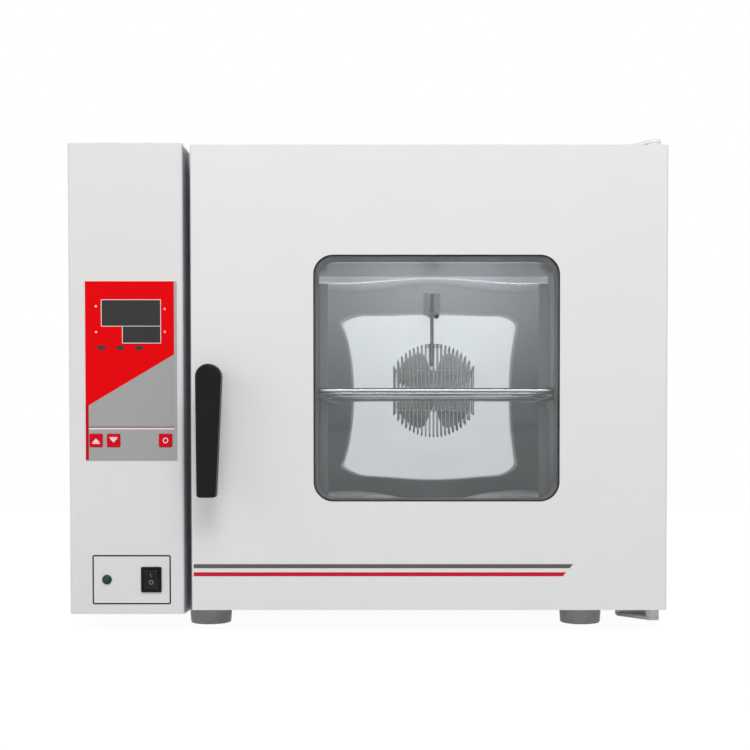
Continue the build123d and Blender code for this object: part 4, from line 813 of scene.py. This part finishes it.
def screw_centres():
    """Places of the screws whose heads reach the rear, as (x, z) points."""
    parts = loose_parts(nodes["cover_screws"].data)
    rear = max(point.y for part in parts for point in part)
    centres = set()
    for part in parts:
        if max(point.y for point in part) > rear - 0.01 * MM and len(part) > HEAD_CORNERS:
            xs = [point.x for point in part]
            zs = [point.z for point in part]
            centres.add((round((min(xs) + max(xs)) / 2, 4), round((min(zs) + max(zs)) / 2, 4)))
    return sorted(centres)


def cross_loop(x, z, angle):
    """Outline of a cross recess, turned by an angle."""
    steps = ((SLOT_HALF, SLOT_REACH), (-SLOT_HALF, SLOT_REACH), (-SLOT_HALF, SLOT_HALF))
    points = []
    for quarter in range(4):
        for a, b in steps:
            turn = angle + quarter * pi / 2
            points.append((x + a * cos(turn) - b * sin(turn), z + a * sin(turn) + b * cos(turn)))
    return points


def screw_heads():
    """Pan heads with a cross recess on the two rear covers."""
    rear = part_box("cover_screws")[1].y
    build = bmesh.new()
    for index, (x, z) in enumerate(screw_centres()):
        top = ring_loop(x, z, SCREW_HEAD - SCREW_EDGE, SCREW_STEPS)
        rim = ring_loop(x, z, SCREW_HEAD, SCREW_STEPS)
        add_plate(build, [top, cross_loop(x, z, index * SCREW_TURN)], rear - SLOT_DEPTH, rear)
        add_plate(build, [top], cover_face, rear - SLOT_DEPTH)
        levels = ((rim, cover_face), (rim, rear - SCREW_EDGE), (top, rear))
        rings = [[build.verts.new((px, y, pz)) for px, pz in loop] for loop, y in levels]
        for lower, upper in zip(rings, rings[1:]):
            for i in range(SCREW_STEPS):
                j = (i + 1) % SCREW_STEPS
                build.faces.new((lower[i], lower[j], upper[j], upper[i]))
    mesh = finish_mesh("screw_heads", build)
    heads = make_piece("screw_heads", mesh, "cabinet", FINISHES["cover_zinc"])
    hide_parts("cover_screws")


cover_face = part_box("rear_panel")[1].y
screw_heads()


# Camera, placed from the view's perspective: square in front, tilted down a little, lens shifted
CAMERA_X = 64.5 * MM
CAMERA_Z = 233.8 * MM
CAMERA_DISTANCE = 1564 * MM
CAMERA_DIP = radians(1.4)
FOCAL_PIXELS = 1282.5
IMAGE_SIDE = 750
SENSOR_SIDE = 36
VANISHING_PIXEL = (421, 440.9)

camera_data = bpy.data.cameras.new("camera")
camera_data.sensor_width = SENSOR_SIDE
camera_data.lens = SENSOR_SIDE * FOCAL_PIXELS / IMAGE_SIDE
camera_data.shift_x = 0.5 - VANISHING_PIXEL[0] / IMAGE_SIDE
camera_data.shift_y = (VANISHING_PIXEL[1] + FOCAL_PIXELS * tan(CAMERA_DIP)) / IMAGE_SIDE - 0.5
camera = bpy.data.objects.new("camera", camera_data)
bpy.context.scene.collection.objects.link(camera)
camera.location = (CAMERA_X, front_y - CAMERA_DISTANCE, CAMERA_Z)
camera.rotation_euler = (pi / 2 - CAMERA_DIP, 0, 0)
bpy.context.scene.camera = camera


# Floor: white, keeping a soft shadow of the machine
FLOOR_GREY = (0.55, 0.55, 0.55)
FLOOR_REACH = 6.0
FLOOR_GLOW = 1.08
FLOOR_SHARE = 0.89


def studio_floor():
    """A broad floor that seems white where it is seen, and gives grey light elsewhere."""
    finish = Finish("studio_floor", FLOOR_GREY, 0.8, Specular_IOR_Level=0.0)
    finish.drive(Base_Color=finish.mix(finish.noise(3, 2), *shades(FLOOR_GREY, 0.018)))
    path = finish.add("LightPath")
    seen = finish.maths("MAXIMUM", path.outputs["Is Camera Ray"], path.outputs["Is Glossy Ray"])
    seen = finish.maths("MAXIMUM", seen, path.outputs["Is Transmission Ray"])
    glow = finish.add("Emission", None, {"Color": (1, 1, 1), "Strength": FLOOR_GLOW}).outputs[0]
    shaders = {0: finish.both(seen, FLOOR_SHARE), 1: finish.shader.outputs[0], 2: glow}
    finish.join(finish.add("MixShader", None, shaders).outputs[0], finish.output.inputs["Surface"])
    build = bmesh.new()
    edge = (-FLOOR_REACH, FLOOR_REACH)
    build.faces.new([build.verts.new((x, y, 0)) for x, y in straight_loop(edge, edge)])
    thing = bpy.data.objects.new("studio_floor", finish_mesh("studio_floor", build))
    bpy.context.scene.collection.objects.link(thing)
    paint(thing, finish.material)


studio_floor()


# Lamps: a broad one high in front, weaker ones at the left and behind, and an even room
def area_lamp(name, place, target, size, power):
    """A soft lamp that looks at a point."""
    data = bpy.data.lights.new(name, "AREA")
    data.shape = "RECTANGLE"
    data.size, data.size_y = size
    data.energy = power
    lamp = bpy.data.objects.new(name, data)
    bpy.context.scene.collection.objects.link(lamp)
    lamp.location = place
    lamp.rotation_euler = (Vector(target) - Vector(place)).to_track_quat("-Z", "Y").to_euler()
    return lamp


MACHINE_MIDDLE = (0.0, 0.0, 0.3)
area_lamp("key", (0.4, -2.1, 2.8), MACHINE_MIDDLE, (2.4, 1.6), 67)
area_lamp("fill", (-2.4, -1.4, 1.2), MACHINE_MIDDLE, (1.4, 1.8), 12)
area_lamp("rear", (0.6, 2.6, 1.2), MACHINE_MIDDLE, (2.0, 1.6), 18)

# A weak strip lamp under the chamber's ceiling gives the back wall its haze
VEIL_SIZE = (0.30, 0.004)
VEIL_POWER = 0.46
VEIL_REACH = 170 * MM
VEIL_DROP = 3 * MM
veil_y = panel_low.y - VEIL_REACH
veil_z = panel_high.z - VEIL_DROP
veil_target = (window_x, panel_low.y, veil_z)
veil = area_lamp("veil", (window_x, veil_y, veil_z), veil_target, VEIL_SIZE, VEIL_POWER)
veil.visible_glossy = False
veil.visible_camera = False


# Room: its strength where it lights, and where it is seen
ROOM_LIGHT = 0.45
ROOM_WHITE = 1.0


def studio_room():
    """An even room light, seen as plain white by the camera and in mirrors and glass."""
    world = bpy.data.worlds.new("studio")
    bpy.context.scene.world = world
    world.use_nodes = True
    tree = world.node_tree
    tree.nodes.clear()
    path = tree.nodes.new("ShaderNodeLightPath")
    seen = path.outputs["Is Camera Ray"]
    for name in ("Is Glossy Ray", "Is Transmission Ray"):
        either = tree.nodes.new("ShaderNodeMath")
        either.operation = "MAXIMUM"
        tree.links.new(seen, either.inputs[0])
        tree.links.new(path.outputs[name], either.inputs[1])
        seen = either.outputs[0]
    mix = tree.nodes.new("ShaderNodeMixShader")
    tree.links.new(seen, mix.inputs[0])
    for socket, strength in ((mix.inputs[1], ROOM_LIGHT), (mix.inputs[2], ROOM_WHITE)):
        sky = tree.nodes.new("ShaderNodeBackground")
        sky.inputs["Color"].default_value = (1, 1, 1, 1)
        sky.inputs["Strength"].default_value = strength
        tree.links.new(sky.outputs[0], socket)
    out = tree.nodes.new("ShaderNodeOutputWorld")
    tree.links.new(mix.outputs[0], out.inputs["Surface"])


studio_room()
bpy.context.scene.view_settings.view_transform = "Standard"
bpy.context.scene.cycles.transparent_max_bounces = 24
bpy.context.scene.cycles.max_bounces = 16

bpy.context.view_layer.update()
